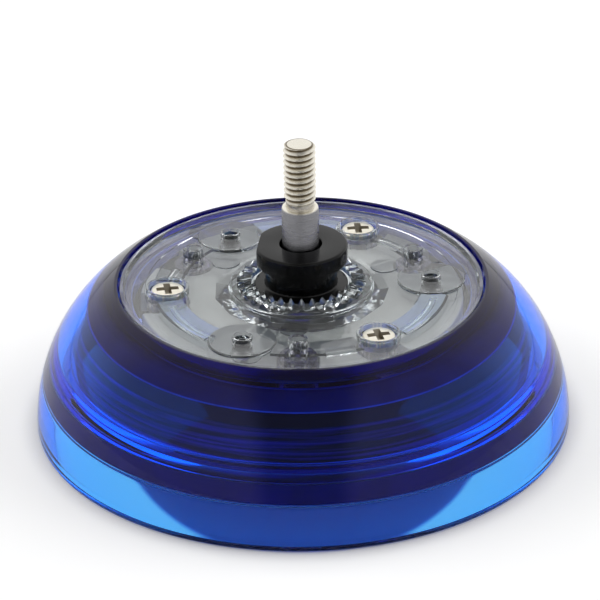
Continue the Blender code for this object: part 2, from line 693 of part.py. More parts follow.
def make_module_base():
    wall_bore = MODULE_RADIUS - BASE_WALL
    rim_top = BASE_TOP + BASE_RIM
    flange_bottom = rim_top - BASE_FLANGE
    edge_radius = SHOULDER_BORE - FIT
    edge_top = min(flank_height(SHOULDER_BORE, FLANK_RADIUS - WALL), flange_bottom)
    flange_radius = min(flank(rim_top, FLANK_RADIUS - WALL) - FIT, edge_radius)
    base = turned("module_base", [
        (MODULE_BORE, BASE_TOP),
        (wall_bore, BASE_TOP),
        (wall_bore, rim_top),
        (flange_radius, rim_top),
        (edge_radius, edge_top),
        (edge_radius, BASE_BOTTOM),
        (edge_radius - BASE_FLANGE, BASE_BOTTOM),
        (edge_radius - BASE_FLANGE, edge_top - BASE_FLANGE / 2),
        (flange_radius - BASE_FLANGE / 2, flange_bottom),
        (MODULE_RADIUS, flange_bottom),
        (MODULE_RADIUS, BASE_BOTTOM),
        (MODULE_BORE, BASE_BOTTOM),
    ], LARGE_FACETS)
    cut(base, module_notches())
    finished(base, "base_black")


def make_module_cover():
    wall_bore = MODULE_RADIUS - COVER_WALL
    wall_bottom = BASE_TOP + BASE_RIM + FIT
    cover = turned("module_cover", [
        (MODULE_BORE, COVER_TOP),
        (MODULE_RADIUS, COVER_TOP),
        (MODULE_RADIUS, wall_bottom),
        (wall_bore, wall_bottom),
        (wall_bore, COVER_UNDERSIDE),
        (MODULE_BORE, COVER_UNDERSIDE),
    ], LARGE_FACETS)
    ports = []
    for angle in fold_angles(PORT_ANGLE):
        port = rod("port", LED_RADIUS, COVER_UNDERSIDE - CUT_PAST, COVER_TOP + CUT_PAST, SMALL_FACETS)
        ports.append(place(port, PORT_CIRCLE, angle))
    cut(cover, module_notches() + ports)
    finished(cover, "cover_grey")


def make_circuit_board():
    board = tube("circuit_board", MODULE_BORE, BOARD_RADIUS, BOARD_BOTTOM, BOARD_TOP, LARGE_FACETS)
    holes = []
    for angle in fold_angles(PORT_ANGLE):
        for side in (-1, 1):
            hole_top = BOARD_TOP + CUT_PAST
            hole = rod("hole", LEAD_RADIUS + FIT, BOARD_BOTTOM - CUT_PAST, hole_top, TINY_FACETS)
            holes.append(place(hole, PORT_CIRCLE, angle, side * LEAD_SPACING / 2))
    cut(board, module_notches() + holes)
    finished(board, "board_green")


def make_leds():
    material = make_material("led_clear")
    barrel_top = PARTS_BOTTOM + LED_FLANGE_HEIGHT + LED_BARREL
    outline = [(0, barrel_top + LED_RADIUS)]
    for step in range(1, DOME_STEPS + 1):
        angle = math.pi / 2 * step / DOME_STEPS
        outline.append((LED_RADIUS * math.sin(angle), barrel_top + LED_RADIUS * math.cos(angle)))
    flange_radius = LED_RADIUS + LED_FLANGE
    outline.append((LED_RADIUS, PARTS_BOTTOM + LED_FLANGE_HEIGHT))
    outline.append((flange_radius, PARTS_BOTTOM + LED_FLANGE_HEIGHT))
    outline.append((flange_radius, PARTS_BOTTOM))
    outline.append((0, PARTS_BOTTOM))
    for number, angle in enumerate(fold_angles(PORT_ANGLE), start=1):
        led = turned(f"led_{number}", outline, SMALL_FACETS)
        leads = []
        for side in (-1, 1):
            lead = rod("lead", LEAD_RADIUS, PARTS_BOTTOM - LEAD_DEPTH, PARTS_BOTTOM + EMBED, TINY_FACETS)
            lead.location.y = side * LEAD_SPACING / 2
            leads.append(lead)
        join(led, leads)
        finish(place(led, PORT_CIRCLE, angle), material)


def make_batteries():
    material = make_material("battery_steel")
    pole_radius = BATTERY_RADIUS - BATTERY_STEP
    for number, angle in enumerate(fold_angles(BATTERY_ANGLE), start=1):
        battery = turned(f"battery_{number}", [
            (0, BATTERY_TOP),
            (pole_radius, BATTERY_TOP),
            (BATTERY_RADIUS, BATTERY_TOP - BATTERY_STEP),
            (BATTERY_RADIUS, PARTS_BOTTOM + BATTERY_STEP),
            (pole_radius, PARTS_BOTTOM + BATTERY_STEP),
            (pole_radius, PARTS_BOTTOM),
            (0, PARTS_BOTTOM),
        ], MEDIUM_FACETS)
        finish(place(battery, BOARD_CIRCLE, angle), material)


def make_battery_clips():
    """Bent strips that stand on the board outside each battery and reach over its top."""
    material = make_material("clip_nickel")
    inside = BATTERY_RADIUS + FIT
    outside = inside + CLIP_THICKNESS
    top = CLIP_BOTTOM + CLIP_THICKNESS
    for number, angle in enumerate(fold_angles(BATTERY_ANGLE), start=1):
        clip = slab(f"battery_clip_{number}", inside, outside, CLIP_WIDTH, PARTS_BOTTOM, top)
        join(clip, [slab("strip", outside - CLIP_REACH, outside, CLIP_WIDTH, CLIP_BOTTOM, top)])
        finish(place(clip, BOARD_CIRCLE, angle), material)


def make_board_parts():
    chip = box("driver_chip", CHIP_SIDE, CHIP_SIDE, PARTS_BOTTOM, PARTS_BOTTOM + CHIP_HEIGHT)
    bevel = chip.modifiers.new("bevel", "BEVEL")
    bevel.width = CHIP_BEVEL
    bevel.segments = 1
    finished(place(chip, BOARD_CIRCLE, CHIP_ANGLE), "chip_black")
    resistor_top = PARTS_BOTTOM + RESISTOR_HEIGHT
    resistor = box("resistor", RESISTOR_LENGTH, RESISTOR_WIDTH, PARTS_BOTTOM, resistor_top)
    finished(place(resistor, BOARD_CIRCLE, RESISTOR_ANGLE), "resistor_dark")


def make_switch():
    """A weight that slides outwards in a guide, open at its outer end, towards a fixed contact."""
    guide_length = GUIDE_WALL + FIT + WEIGHT_LENGTH + SWITCH_TRAVEL
    inner_end = -(guide_length + FIT + 2 * CONTACT_RADIUS) / 2
    outer_end = inner_end + guide_length
    channel_width = WEIGHT_WIDTH + 2 * FIT
    guide_width = channel_width + 2 * GUIDE_WALL
    channel_bottom = WEIGHT_BOTTOM - FIT
    channel_top = WEIGHT_TOP + FIT
    weight_start = inner_end + GUIDE_WALL + FIT

    guide = slab("switch_guide", inner_end, outer_end, guide_width, PARTS_BOTTOM, channel_top + GUIDE_WALL)
    channel_start = inner_end + GUIDE_WALL
    channel_end = outer_end + CUT_PAST
    cut(guide, [slab("channel", channel_start, channel_end, channel_width, channel_bottom, channel_top)])
    finished(place(guide, BOARD_CIRCLE, SWITCH_ANGLE), "guide_white")

    material = make_material("switch_brass")
    weight_end = weight_start + WEIGHT_LENGTH
    weight = slab("switch_weight", weight_start, weight_end, WEIGHT_WIDTH, WEIGHT_BOTTOM, WEIGHT_TOP)
    finish(place(weight, BOARD_CIRCLE, SWITCH_ANGLE), material)

    contact = rod("switch_contact", CONTACT_RADIUS, PARTS_BOTTOM, WEIGHT_TOP, TINY_FACETS)
    finish(place(contact, BOARD_CIRCLE + outer_end + FIT + CONTACT_RADIUS, SWITCH_ANGLE), material)


for leftover in list(bpy.data.objects):
    bpy.data.objects.remove(leftover, do_unlink=True)

make_shell()
make_face_cap()
make_inner_plate()
make_screws()
make_axle()
make_hub()
make_axle_fastening()
make_spool()
make_module_base()
make_module_cover()
make_circuit_board()
make_leds()
make_batteries()
make_battery_clips()
make_board_parts()
make_switch()
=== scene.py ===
"""Looks of one half of a take-apart, light-up yo-yo: fine surfaces and finishes on the fixed frame.

Sizes are written in millimetres times MM, which gives metres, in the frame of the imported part.
"""
import math

import bmesh
import bpy
from mathutils import Matrix, Vector


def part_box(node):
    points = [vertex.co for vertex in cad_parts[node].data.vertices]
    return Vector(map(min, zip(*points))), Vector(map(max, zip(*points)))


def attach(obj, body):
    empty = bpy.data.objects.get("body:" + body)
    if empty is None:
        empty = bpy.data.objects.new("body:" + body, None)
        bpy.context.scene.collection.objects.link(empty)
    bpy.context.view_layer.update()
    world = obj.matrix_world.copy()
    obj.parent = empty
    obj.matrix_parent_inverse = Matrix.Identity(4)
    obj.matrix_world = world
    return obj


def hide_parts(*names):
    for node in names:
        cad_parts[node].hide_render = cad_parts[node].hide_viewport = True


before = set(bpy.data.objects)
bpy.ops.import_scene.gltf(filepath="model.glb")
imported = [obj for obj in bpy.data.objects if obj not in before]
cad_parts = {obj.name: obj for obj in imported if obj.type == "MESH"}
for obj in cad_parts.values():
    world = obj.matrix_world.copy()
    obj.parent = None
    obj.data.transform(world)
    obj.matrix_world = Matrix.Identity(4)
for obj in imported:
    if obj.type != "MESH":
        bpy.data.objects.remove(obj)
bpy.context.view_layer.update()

MM = 0.001

# Camera
CAMERA_DISTANCE = 455.0 * MM
CAMERA_ELEVATION = math.radians(29.68)
CAMERA_ROLL = math.radians(-0.9)
CAMERA_AIM = Vector((-0.2 * MM, 0.0, 16.6 * MM))
CAMERA_LENS = 206.8
SENSOR_WIDTH = 36.0
CLIP_START = 10.0 * MM

# Studio levels, where 1 is white
ROOM_FRONT = 0.07  # as clear plastic shows it
GLOSS_FRONT = 0.28  # as gloss shows it, straight ahead
GLOSS_SIDES = 0.72  # and to the left and right
SIDE_EDGE = (0.22, 0.40)  # of those sides, as a direction along X
AMBIENT_BACK = 0.40  # as light on the surfaces
AMBIENT_FRONT = 0.10
FRONT_EDGE = -0.35  # of the dark front, as a direction along Y
BACK_EDGE = 0.45  # of the white back
FLOOR_LIFT = 0.32  # of the floor as the camera sees it
FLOOR_GLOSS = 0.12  # as gloss shows it
FLOOR_GLOW = 0.78  # painted light on the floor, as clear plastic shows it, beside the object and under its rim
FLOOR_SHADE = 0.13  # painted dim blue light, as clear plastic shows it under the middle of the object
SHADE_BLUE = (0.02, 0.12, 1.0)  # of the light that comes through the shell to the floor

# Studio sizes
FLOOR_SIZE = 2.0
FLOOR_DROP = 0.05 * MM  # keeps the floor just clear of the rim
FLOOR_PAPER = (0.86, 0.86, 0.86)
LIFT_FADE = 3.0 * MM  # beyond the body, over which the floor's lift fades in: a painted contact shadow
GLOW_FADE = 1.3 * MM  # under the rim
GLOW_SCALE = (1.35, 0.92, 0)  # brings the glow inwards at the sides and outwards at the front
LAMP_AIM = (0.0, 0.0, 12.0 * MM)
SOFTBOXES = (  # name, place, width, height and power
    ("left_box", (-0.70, 0.10, 0.40), 1.0, 0.70, 4.6),
    ("right_box", (0.70, 0.10, 0.40), 1.0, 0.70, 4.6),
    ("top_box", (0.0, 0.25, 0.70), 0.60, 0.40, 1.0),
)

# Sizes read from the frame
BODY_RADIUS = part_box("shell")[1][0]
LIP_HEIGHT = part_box("shell")[1][2]
PLATE_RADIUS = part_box("inner_plate")[1][0]
RING_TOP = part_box("inner_plate")[1][2]
RING_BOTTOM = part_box("inner_plate")[0][2]
CAP_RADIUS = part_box("face_cap")[1][0]
RECESS_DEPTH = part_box("face_cap")[0][2]
SEAT_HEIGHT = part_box("face_cap")[1][2]
AXLE_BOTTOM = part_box("axle")[0][2]
AXLE_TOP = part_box("axle")[1][2]
SHOULDER_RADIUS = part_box("axle")[1][0]
HUB_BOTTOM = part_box("axle_hub")[0][2]
HUB_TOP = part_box("axle_hub")[1][2]
HUB_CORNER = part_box("axle_hub")[1][0]
SPOOL_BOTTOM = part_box("spool")[0][2]
SPOOL_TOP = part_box("spool")[1][2]
SPOOL_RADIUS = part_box("spool")[1][0]
BASE_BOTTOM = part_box("module_base")[0][2]
BASE_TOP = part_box("module_base")[1][2]
COVER_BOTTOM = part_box("module_cover")[0][2]
COVER_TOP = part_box("module_cover")[1][2]

# Shell section
FIT = 0.3 * MM
FLANK_RADIUS = 23.2 * MM
EDGE_ROUND = 0.6 * MM
WALL = 2.2 * MM
SKIRT_WALL = 2.0 * MM
LIP_BORE = PLATE_RADIUS + FIT
SEAT_WIDTH = 1.9 * MM
SEAT_BORE = LIP_BORE - SEAT_WIDTH
SEAT_THICKNESS = 2.2 * MM
CAP_BORE = CAP_RADIUS + FIT
CAP_TOP = BASE_BOTTOM - FIT
SHOULDER_BORE = CAP_BORE - 2.6 * MM
SHOULDER_RISE = 1.5 * MM
SHELL_SOFT = 0.15 * MM  # rounding of the edges

# Face cap, with a tube round the hub, posts for the screws and sockets for the pegs
CAP_BORDER = 5.0 * MM
CAP_DISH = 0.6 * MM
CAP_SOFT = 0.2 * MM
TUBE_BORE = 4.92 * MM
TUBE_WALL = 1.5 * MM
POST_RADIUS = 2.6 * MM
POST_BORE = 1.3 * MM
POST_FLOOR = 11.0 * MM
SOCKET_RADIUS = 2.4 * MM
SOCKET_BORE = 1.6 * MM
SOCKET_FLOOR = 14.7 * MM
SOCKET_TOP = 16.7 * MM

# Plate section
PLATE_UNDERSIDE = SEAT_HEIGHT + FIT
PLATE_FLOOR = PLATE_UNDERSIDE + 1.4 * MM
PLATE_SOFT = 0.12 * MM
RIM_TOP = LIP_HEIGHT - 0.2 * MM
RIM_WIDTH = 0.5 * MM
EDGE_INNER = 20.2 * MM  # of the raised edge inside the rim
EDGE_RISE = 0.07 * MM
RIB_BOTTOM = COVER_TOP + FIT
SPOOL_WELL = SPOOL_RADIUS + 0.45 * MM
POCKET_CORNER = HUB_CORNER + 2 * FIT / math.sqrt(3)
RING_RADIUS = POCKET_CORNER + 1.45 * MM
RING_SHOULDER = 0.95 * MM
RING_RISE = 0.5 * MM
TOOTH_COUNT = 30
TOOTH_DEPTH = 0.75 * MM
TOOTH_FALL = 0.55 * MM  # of the ridges from the inner to the outer edge
TOOTH_OUTER_DEPTH = 0.4 * MM
TOOTH_ROUND = 0.18  # rounding of a crest, as a share of half a ridge
RIDGE_SHARE = 0.6  # of a tooth's pitch, with the rest flat
TOOTH_STEPS = 10
FLARE_WIDTH = 2.0 * MM
FLARE_PETALS = 15

# Three-fold layout, in degrees from +X
FOLDS = 3
SCREW_CIRCLE = SEAT_BORE - 4.6 * MM
SCREW_ANGLE = 63.7
PORT_CIRCLE = SEAT_BORE - 5.05 * MM
PORT_ANGLE = 3.5
PEG_CIRCLE = SEAT_BORE - 5.2 * MM
PEG_ANGLE = 28.2

# Small relief of the plate
BOSS_RADIUS = 2.8 * MM
BOSS_RISE = 0.8 * MM
COUNTERBORE = 2.45 * MM
SCREW_SEAT = 18.0 * MM
SCREW_HOLE = 1.3 * MM
PAD_RADIUS = 4.4 * MM
PAD_RISE = 0.35 * MM
COLLAR_RADIUS = 1.3 * MM
COLLAR_RISE = 0.9 * MM
PORT_RADIUS = 0.95 * MM
PEG_RADIUS = 1.3 * MM
PEG_BOTTOM = 15.0 * MM
PEG_RISE = 1.25 * MM
PEG_BORE = 0.75 * MM
POLISH_RADIUS = 1.35 * MM  # just outside the port collars and the pegs
MARKS = ((12.0 * MM, 25.0), (20.3 * MM, 10.0))  # ejector marks: circle and first angle
MARK_RADIUS = 1.85 * MM
MARK_RISE = 0.12 * MM
RIBS = ((11, 46), (-24, -11))  # start and end, in degrees from a screw
RIB_WIDTH = 1.0 * MM
RIB_SLOPE = 0.3 * MM
RIB_STEPS = 14
BANDS = ((10, 46), (-46, -10))  # start and end, in degrees from a screw
BAND_INNER = 15.4 * MM
BAND_OUTER = 19.2 * MM
BAND_RISE = 0.2 * MM
BAND_SLOPE = 0.3 * MM
BAND_STEPS = 20

# Light module
MODULE_BORE = RING_RADIUS + FIT
MODULE_RADIUS = SEAT_BORE - 1.0 * MM
MODULE_WALL = 0.9 * MM
BASE_FLOOR = 1.2 * MM
BASE_FLANGE = 0.8 * MM
BASE_SOFT = 0.12 * MM
COVER_THICKNESS = 1.1 * MM
COVER_SOFT = 0.15 * MM
LED_RADIUS = 1.5 * MM

# Screws
HEAD_RADIUS = 2.15 * MM
HEAD_HEIGHT = 0.9 * MM
HEAD_ROUND = 0.25 * MM
DOME = 0.12 * MM
CROWN = (0.55, 0.2)  # where the dome bends, as shares of the head's radius and of the dome
SHANK_RADIUS = 1.0 * MM
POINT_LENGTH = 1.0 * MM
CROSS_TOP = (3.0 * MM, 0.9 * MM)  # length and width of the recess at the top of the head
CROSS_FLOOR = (1.7 * MM, 0.4 * MM)
CROSS_DEPTH = 0.75 * MM
CROSS_PAST = 0.02 * MM  # of its cutter, above the head
CROSS_REACH = 1.72 * MM  # just beyond its ends
SCREW_TURN = 4.0  # degrees, more on each screw

# Axle
STUD_RADIUS = 1.9 * MM
AXLE_CHAMFER = 0.25 * MM
AXLE_BEVEL = 0.3 * MM  # of the shoulder's edge
AXLE_BEND = 0.075 * MM  # within that bevel, and at the foot of the neck
SHOULDER_LENGTH = 5.3 * MM  # above the spool
NECK_RADIUS = 1.8 * MM
NECK_LENGTH = 1.3 * MM
RUN_OUT = 0.6 * MM
THREAD_PITCH = 0.794 * MM
THREAD_CREST = 2.08 * MM
THREAD_DEPTH = 0.43 * MM
THREAD_FLANK = 2.5  # depths in one pitch
THREAD_FLAT = 0.12  # how much of the crests is cut off, as a share of the depth
THREAD_ROWS = 150
TIP_RADIUS = 1.53 * MM
TIP_ROUND = 0.7416 * MM
TIP_LENGTH = 0.74 * MM

# Spool
SPOOL_BORE = SHOULDER_RADIUS + 0.37 * MM
SPOOL_NECK = 4.65 * MM
LOWER_FLANGE = 2.1 * MM
STRING_GAP = 3.3 * MM
SPOOL_SOFT = 0.3 * MM
BORE_SOFT = 0.15 * MM
FLAT_DEPTH = 0.63 * MM  # of the flat on the upper flange
FLAT_START = 1.5 * MM  # of its cutter, below that flange
FLAT_ANGLE = 173.0

# Facets
ROUND = 160
SPOOL_FACETS = 96
MEDIUM = 64
AXLE_FACETS = 48
SMALL = 36
FLANK_STEPS = 40
INNER_STEPS = 12
CORNER_STEPS = 7
SHARP = math.radians(38)
PLATE_SHARP = math.radians(15)
SAME_POINT = 0.0005 * MM
CUT_PAST = 1.0 * MM
EMBED = 0.25 * MM

# Patterns of the finishes, in cells per metre
CLEAR_CLOUDS = 500
SCUFFS = 900
PLASTIC_CLOUDS = 260
PLASTIC_SCUFFS = 1500
PLASTIC_GRAIN = 6000
# painted reflection streaks on the tray's edge
REFLECTION_STREAKS = 35
METAL_CLOUDS = 420
METAL_LINES = 700
EVEN = (1, 1, 1)
TURNED = (1, 1, 18)  # lines round Z
STREAKED = (1, 1, 50)
NOISE_RANGE = (0.3, 0.7)  # where most of a noise pattern lies
STREAK_RANGE = (0.46, 0.66)
GRAIN_DEPTH = 0.004 * MM
FINE_GRAIN_DEPTH = 0.002 * MM

# Colours and optics that several finishes share
PLAIN = (1.0, 1.0, 1.0)
BLUE_GLOSS = (0.55, 0.48, 0.80)  # gloss that takes the colour of the blue plastic
BLUE_IOR = 1.49
CLEAR_DEPTH = (0.80, 0.92, 0.95)  # of the clear plate, seen through its depth
FROST_DEPTH = (0.80, 0.92, 1.0)
FROST_CAST = (0.78, 0.93, 1.0)
CLEAR_DENSITY = 60.0
CLEAR_IOR = 1.53
CLOUD_SHADE = 0.96
PLASTIC_SHINE = 0.5
DULL_SHINE = 0.1
# painted shade: the blue darkens towards the top of the thin lip, between these heights
LIP_SHADE_BLUE = (0.006, 0.008, 0.03)
LIP_SHADE_FADE = (LIP_HEIGHT - 1.9 * MM, LIP_HEIGHT - 0.9 * MM)
AXLE_SPAN = (1.5 * MM, 2.5 * MM)  # distances from the axis that the colours below lie between
AXLE_COLOURS = (
    (1.53 * MM, (0.86, 0.82, 0.72)),  # end of the tip
    (1.63 * MM, (0.12, 0.09, 0.055)),  # grooves
    (1.72 * MM, (0.22, 0.18, 0.12)),
    (1.80 * MM, (0.62, 0.58, 0.50)),
    (1.95 * MM, (0.88, 0.84, 0.74)),  # crests
    (2.28 * MM, (0.88, 0.84, 0.74)),
    (2.36 * MM, (0.25, 0.25, 0.265)),  # shoulder
)


# Geometry helpers
def add_piece(name, bm):
    bmesh.ops.recalc_face_normals(bm, faces=bm.faces)
    mesh = bpy.data.meshes.new(name)
    bm.to_mesh(mesh)
    bm.free()
    piece = bpy.data.objects.new(name, mesh)
    bpy.context.scene.collection.objects.link(piece)
    soften(piece)
    return piece


def soften(piece, sharp=SHARP):
    piece.data.shade_smooth()
    piece.data.set_sharp_from_angle(angle=sharp)


def rounded(outline):
    """A closed outline whose points (r, z, fillet) have round corners where a fillet is given."""
    points = []
    for index, corner in enumerate(outline):
        here = Vector(corner[:2])
        fillet = corner[2] if len(corner) > 2 else 0
        if fillet == 0:
            points.append(tuple(here))
            continue
        before = Vector(outline[index - 1][:2]) - here
        after = Vector(outline[(index + 1) % len(outline)][:2]) - here
        half = before.angle(after) / 2
        reach = min(fillet / math.tan(half), before.length / 2, after.length / 2)
        radius = reach * math.tan(half)
        before.normalize()
        after.normalize()
        centre = here + (before + after).normalized() * (radius / math.sin(half))
        start = here + before * reach - centre
        end = here + after * reach - centre
        for step in range(CORNER_STEPS + 1):
            spoke = start.slerp(end, step / CORNER_STEPS)
            points.append(tuple(centre + spoke * radius))
    return points


def at(item, angle):
    return item(angle) if callable(item) else item


def is_bent(face):
    centre = face.calc_center_median()
    return any(abs((vert.co - centre).dot(face.normal)) > SAME_POINT for vert in face.verts)


def lathe(name, outline, segments=ROUND):
    """A closed outline of (radius, height) turned about Z. Either may be a function of the angle."""
    bm = bmesh.new()
    rings = []
    for radius, height in outline:
        if radius == 0:
            rings.append([bm.verts.new((0, 0, height))] * segments)
            continue
        ring = []
        for index in range(segments):
            angle = 2 * math.pi * index / segments
            r = at(radius, angle)
            ring.append(bm.verts.new((r * math.cos(angle), r * math.sin(angle), at(height, angle))))
        rings.append(ring)
    for ring, following in zip(rings, rings[1:] + rings[:1]):
        for index in range(segments):
            after = (index + 1) % segments
            corners = (ring[index], ring[after], following[after], following[index])
            distinct = list(dict.fromkeys(corners))
            if len(distinct) > 2:
                bm.faces.new(distinct)
    bm.normal_update()
    bmesh.ops.triangulate(bm, faces=[face for face in bm.faces if is_bent(face)])
    return add_piece(name, bm)


def rod(name, radius, bottom, top, segments=SMALL, edge=0.0):
    return lathe(name, rounded([(0, top), (radius, top, edge), (radius, bottom), (0, bottom)]), segments)


def blind_post(name, bore, bore_bottom, radius, bottom, top):
    return lathe(name, [
        (0, bore_bottom), (bore, bore_bottom), (bore, top), (radius, top), (radius, bottom), (0, bottom),
    ], SMALL)


def arc(radius, start, end, steps):
    points = []
    for step in range(steps + 1):
        angle = math.radians(start + (end - start) * step / steps)
        points.append((radius * math.cos(angle), radius * math.sin(angle)))
    return points


def loft(name, layers):
    """A closed solid through flat outlines of (x, y) points, each at its height."""
    bm = bmesh.new()
    rings = [[bm.verts.new((x, y, height)) for x, y in outline] for outline, height in layers]
    bm.faces.new(reversed(rings[0]))
    bm.faces.new(rings[-1])
    count = len(rings[0])
    for ring, above in zip(rings, rings[1:]):
        for index in range(count):
            after = (index + 1) % count
            bm.faces.new((ring[index], ring[after], above[after], above[index]))
    return add_piece(name, bm)


def place(piece, circle, angle):
    turn = math.radians(angle)
    piece.location = Matrix.Rotation(turn, 3, "Z") @ Vector((circle, 0, 0))
    piece.rotation_euler = (0, 0, turn)
    return piece


def fold_angles(first):
    return [first + fold * 360 / FOLDS for fold in range(FOLDS)]


def off_axis(face):
    return math.hypot(face.center.x, face.center.y)


def combine(piece, tools, operation):
    group = bpy.data.collections.new(operation.lower())
    bpy.context.scene.collection.children.link(group)
    for tool in tools:
        group.objects.link(tool)
    modifier = piece.modifiers.new(operation.lower(), "BOOLEAN")
    modifier.operation = operation
    modifier.solver = "MANIFOLD"
    modifier.operand_type = "COLLECTION"
    modifier.collection = group
    evaluated = piece.evaluated_get(bpy.context.evaluated_depsgraph_get())
    mesh = bpy.data.meshes.new_from_object(evaluated)
    piece.modifiers.clear()
    piece.data = mesh
    mesh.name = piece.name
    for tool in tools:
        bpy.data.objects.remove(tool, do_unlink=True)
    bpy.data.collections.remove(group)
    soften(piece)


def dress(piece, body, slot, finishes, *nodes):
    """Gives a piece its finishes, hangs it on its body's empty and hides the nodes that it stands for."""
    piece.data.materials.clear()
    for finish in finishes:
        piece.data.materials.append(finish)
    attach(piece, body)
    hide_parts(*nodes)


# Shader node helpers
def distance_from_axis(tree, scale):
    """The distance from the object's origin, with each axis scaled."""
    coordinates = tree.nodes.new("ShaderNodeTexCoord")
    scaled = tree.nodes.new("ShaderNodeVectorMath")
    scaled.operation = "MULTIPLY"
    scaled.inputs[1].default_value = scale
    length = tree.nodes.new("ShaderNodeVectorMath")
    length.operation = "LENGTH"
    tree.links.new(coordinates.outputs["Object"], scaled.inputs[0])
    tree.links.new(scaled.outputs["Vector"], length.inputs[0])
    return length.outputs["Value"]


def largest(tree, sockets):
    """The largest of some numbers."""
    result = sockets[0]
    for socket in sockets[1:]:
        larger = tree.nodes.new("ShaderNodeMath")
        larger.operation = "MAXIMUM"
        tree.links.new(result, larger.inputs[0])
        tree.links.new(socket, larger.inputs[1])
        result = larger.outputs[0]
    return result


def between(tree, source, low, high, start=0.0, end=1.0, kind="SMOOTHSTEP"):
    """A number that goes from one value to another as its source goes from start to end."""
    spread = tree.nodes.new("ShaderNodeMapRange")
    spread.interpolation_type = kind
    spread.inputs["From Min"].default_value = start
    spread.inputs["From Max"].default_value = end
    for value, socket in ((low, "To Min"), (high, "To Max")):
        if isinstance(value, float):
            spread.inputs[socket].default_value = value
        else:
            tree.links.new(value, spread.inputs[socket])
    tree.links.new(source, spread.inputs["Value"])
    return spread.outputs["Result"]


def colour_ramp(tree, source, stops):
    """A colour that follows a number through stops of (position, colour)."""
    ramp = tree.nodes.new("ShaderNodeValToRGB")
    elements = ramp.color_ramp.elements
    for index in (0, -1):
        elements[index].position, colour = stops[index]
        elements[index].color = (*colour, 1)
    for position, colour in stops[1:-1]:
        elements.new(position).color = (*colour, 1)
    tree.links.new(source, ramp.inputs["Fac"])
    return ramp.outputs["Color"]


# Materials
def new_material(name):
    material = bpy.data.materials.new(name)
    material.use_nodes = True
    return material


def shader(material):
    return material.node_tree.nodes["Principled BSDF"]


def noise(material, scale, detail, stretch=EVEN):
    """A noise pattern in the piece's own coordinates. The scale is in cells per metre."""
    tree = material.node_tree
    place_in = tree.nodes.new("ShaderNodeTexCoord")
    mapping = tree.nodes.new("ShaderNodeMapping")
    mapping.inputs["Scale"].default_value = stretch
    pattern = tree.nodes.new("ShaderNodeTexNoise")
    pattern.inputs["Scale"].default_value = scale
    pattern.inputs["Detail"].default_value = detail
    tree.links.new(place_in.outputs["Object"], mapping.inputs["Vector"])
    tree.links.new(mapping.outputs["Vector"], pattern.inputs["Vector"])
    return pattern.outputs["Fac"]


def vary_roughness(material, source, smooth, rough):
    """Lets a pattern move the roughness between two values."""
    tree = material.node_tree
    roughness = between(tree, source, smooth, rough, *NOISE_RANGE, "LINEAR")
    tree.links.new(roughness, shader(material).inputs["Roughness"])


def paint(material, colour):
    material.node_tree.links.new(colour, shader(material).inputs["Base Color"])


def tint(material, source, dark, light, span=NOISE_RANGE):
    """Lets a pattern move the base colour between two colours."""
    paint(material, colour_ramp(material.node_tree, source, list(zip(span, (dark, light)))))


def bump(material, source, depth):
    tree = material.node_tree
    relief = tree.nodes.new("ShaderNodeBump")
    relief.inputs["Strength"].default_value = 1.0
    relief.inputs["Distance"].default_value = depth
    tree.links.new(source, relief.inputs["Height"])
    tree.links.new(relief.outputs["Normal"], shader(material).inputs["Normal"])


def see_through(name, colour, density, ior, roughness, haze=0.0, gloss=PLAIN):
    """Clear plastic, tinted through its depth, with faint scuffs in its gloss and a share of milky haze."""
    material = new_material(name)
    plastic = shader(material)
    plastic.inputs["Transmission Weight"].default_value = 1.0 - haze
    plastic.inputs["IOR"].default_value = ior
    plastic.inputs["Specular Tint"].default_value = (*gloss, 1)
    vary_roughness(material, noise(material, SCUFFS, 6.0), *roughness)
    tree = material.node_tree
    absorb = tree.nodes.new("ShaderNodeVolumeAbsorption")
    absorb.inputs["Color"].default_value = (*colour, 1)
    absorb.inputs["Density"].default_value = density
    tree.links.new(absorb.outputs["Volume"], tree.nodes["Material Output"].inputs["Volume"])
    return material


def clouded(material, cast=PLAIN):
    """Gives a clear plastic faint clouds of one colour."""
    shade = [CLOUD_SHADE * share for share in cast]
    tint(material, noise(material, CLEAR_CLOUDS, 4.0), shade, cast)
    return material


def with_painted_lip_shade(material):
    """Paints shade along the top of the thin lip: the blue darkens towards its top."""
    tree = material.node_tree
    coordinates = tree.nodes.new("ShaderNodeTexCoord")
    axes = tree.nodes.new("ShaderNodeSeparateXYZ")
    tree.links.new(coordinates.outputs["Object"], axes.inputs["Vector"])
    rise = between(tree, axes.outputs["Z"], 0.0, 1.0, *LIP_SHADE_FADE, "LINEAR")
    paint(material, colour_ramp(tree, rise, [(0.0, PLAIN), (1.0, LIP_SHADE_BLUE)]))
    return material


def grained(name, roughness, grain, shine):
    """Opaque plastic with a fine moulded grain, before its colour."""
    material = new_material(name)
    shader(material).inputs["Specular IOR Level"].default_value = shine
    vary_roughness(material, noise(material, PLASTIC_SCUFFS, 3.0), *roughness)
    bump(material, noise(material, PLASTIC_GRAIN, 2.0), grain)
    return material


def moulded(name, dark, light, roughness, grain=GRAIN_DEPTH, shine=PLASTIC_SHINE):
    """Opaque moulded plastic with a little unevenness in its colour."""
    material = grained(name, roughness, grain, shine)
    tint(material, noise(material, PLASTIC_CLOUDS, 4.0), dark, light)
    return material


def reflection_streaked(name, dark, light, roughness):
    """Opaque moulded plastic, dark with thin lighter streaks round it, which are painted reflections."""
    material = grained(name, roughness, GRAIN_DEPTH, DULL_SHINE)
    tint(material, noise(material, REFLECTION_STREAKS, 4.0, STREAKED), dark, light, STREAK_RANGE)
    return material


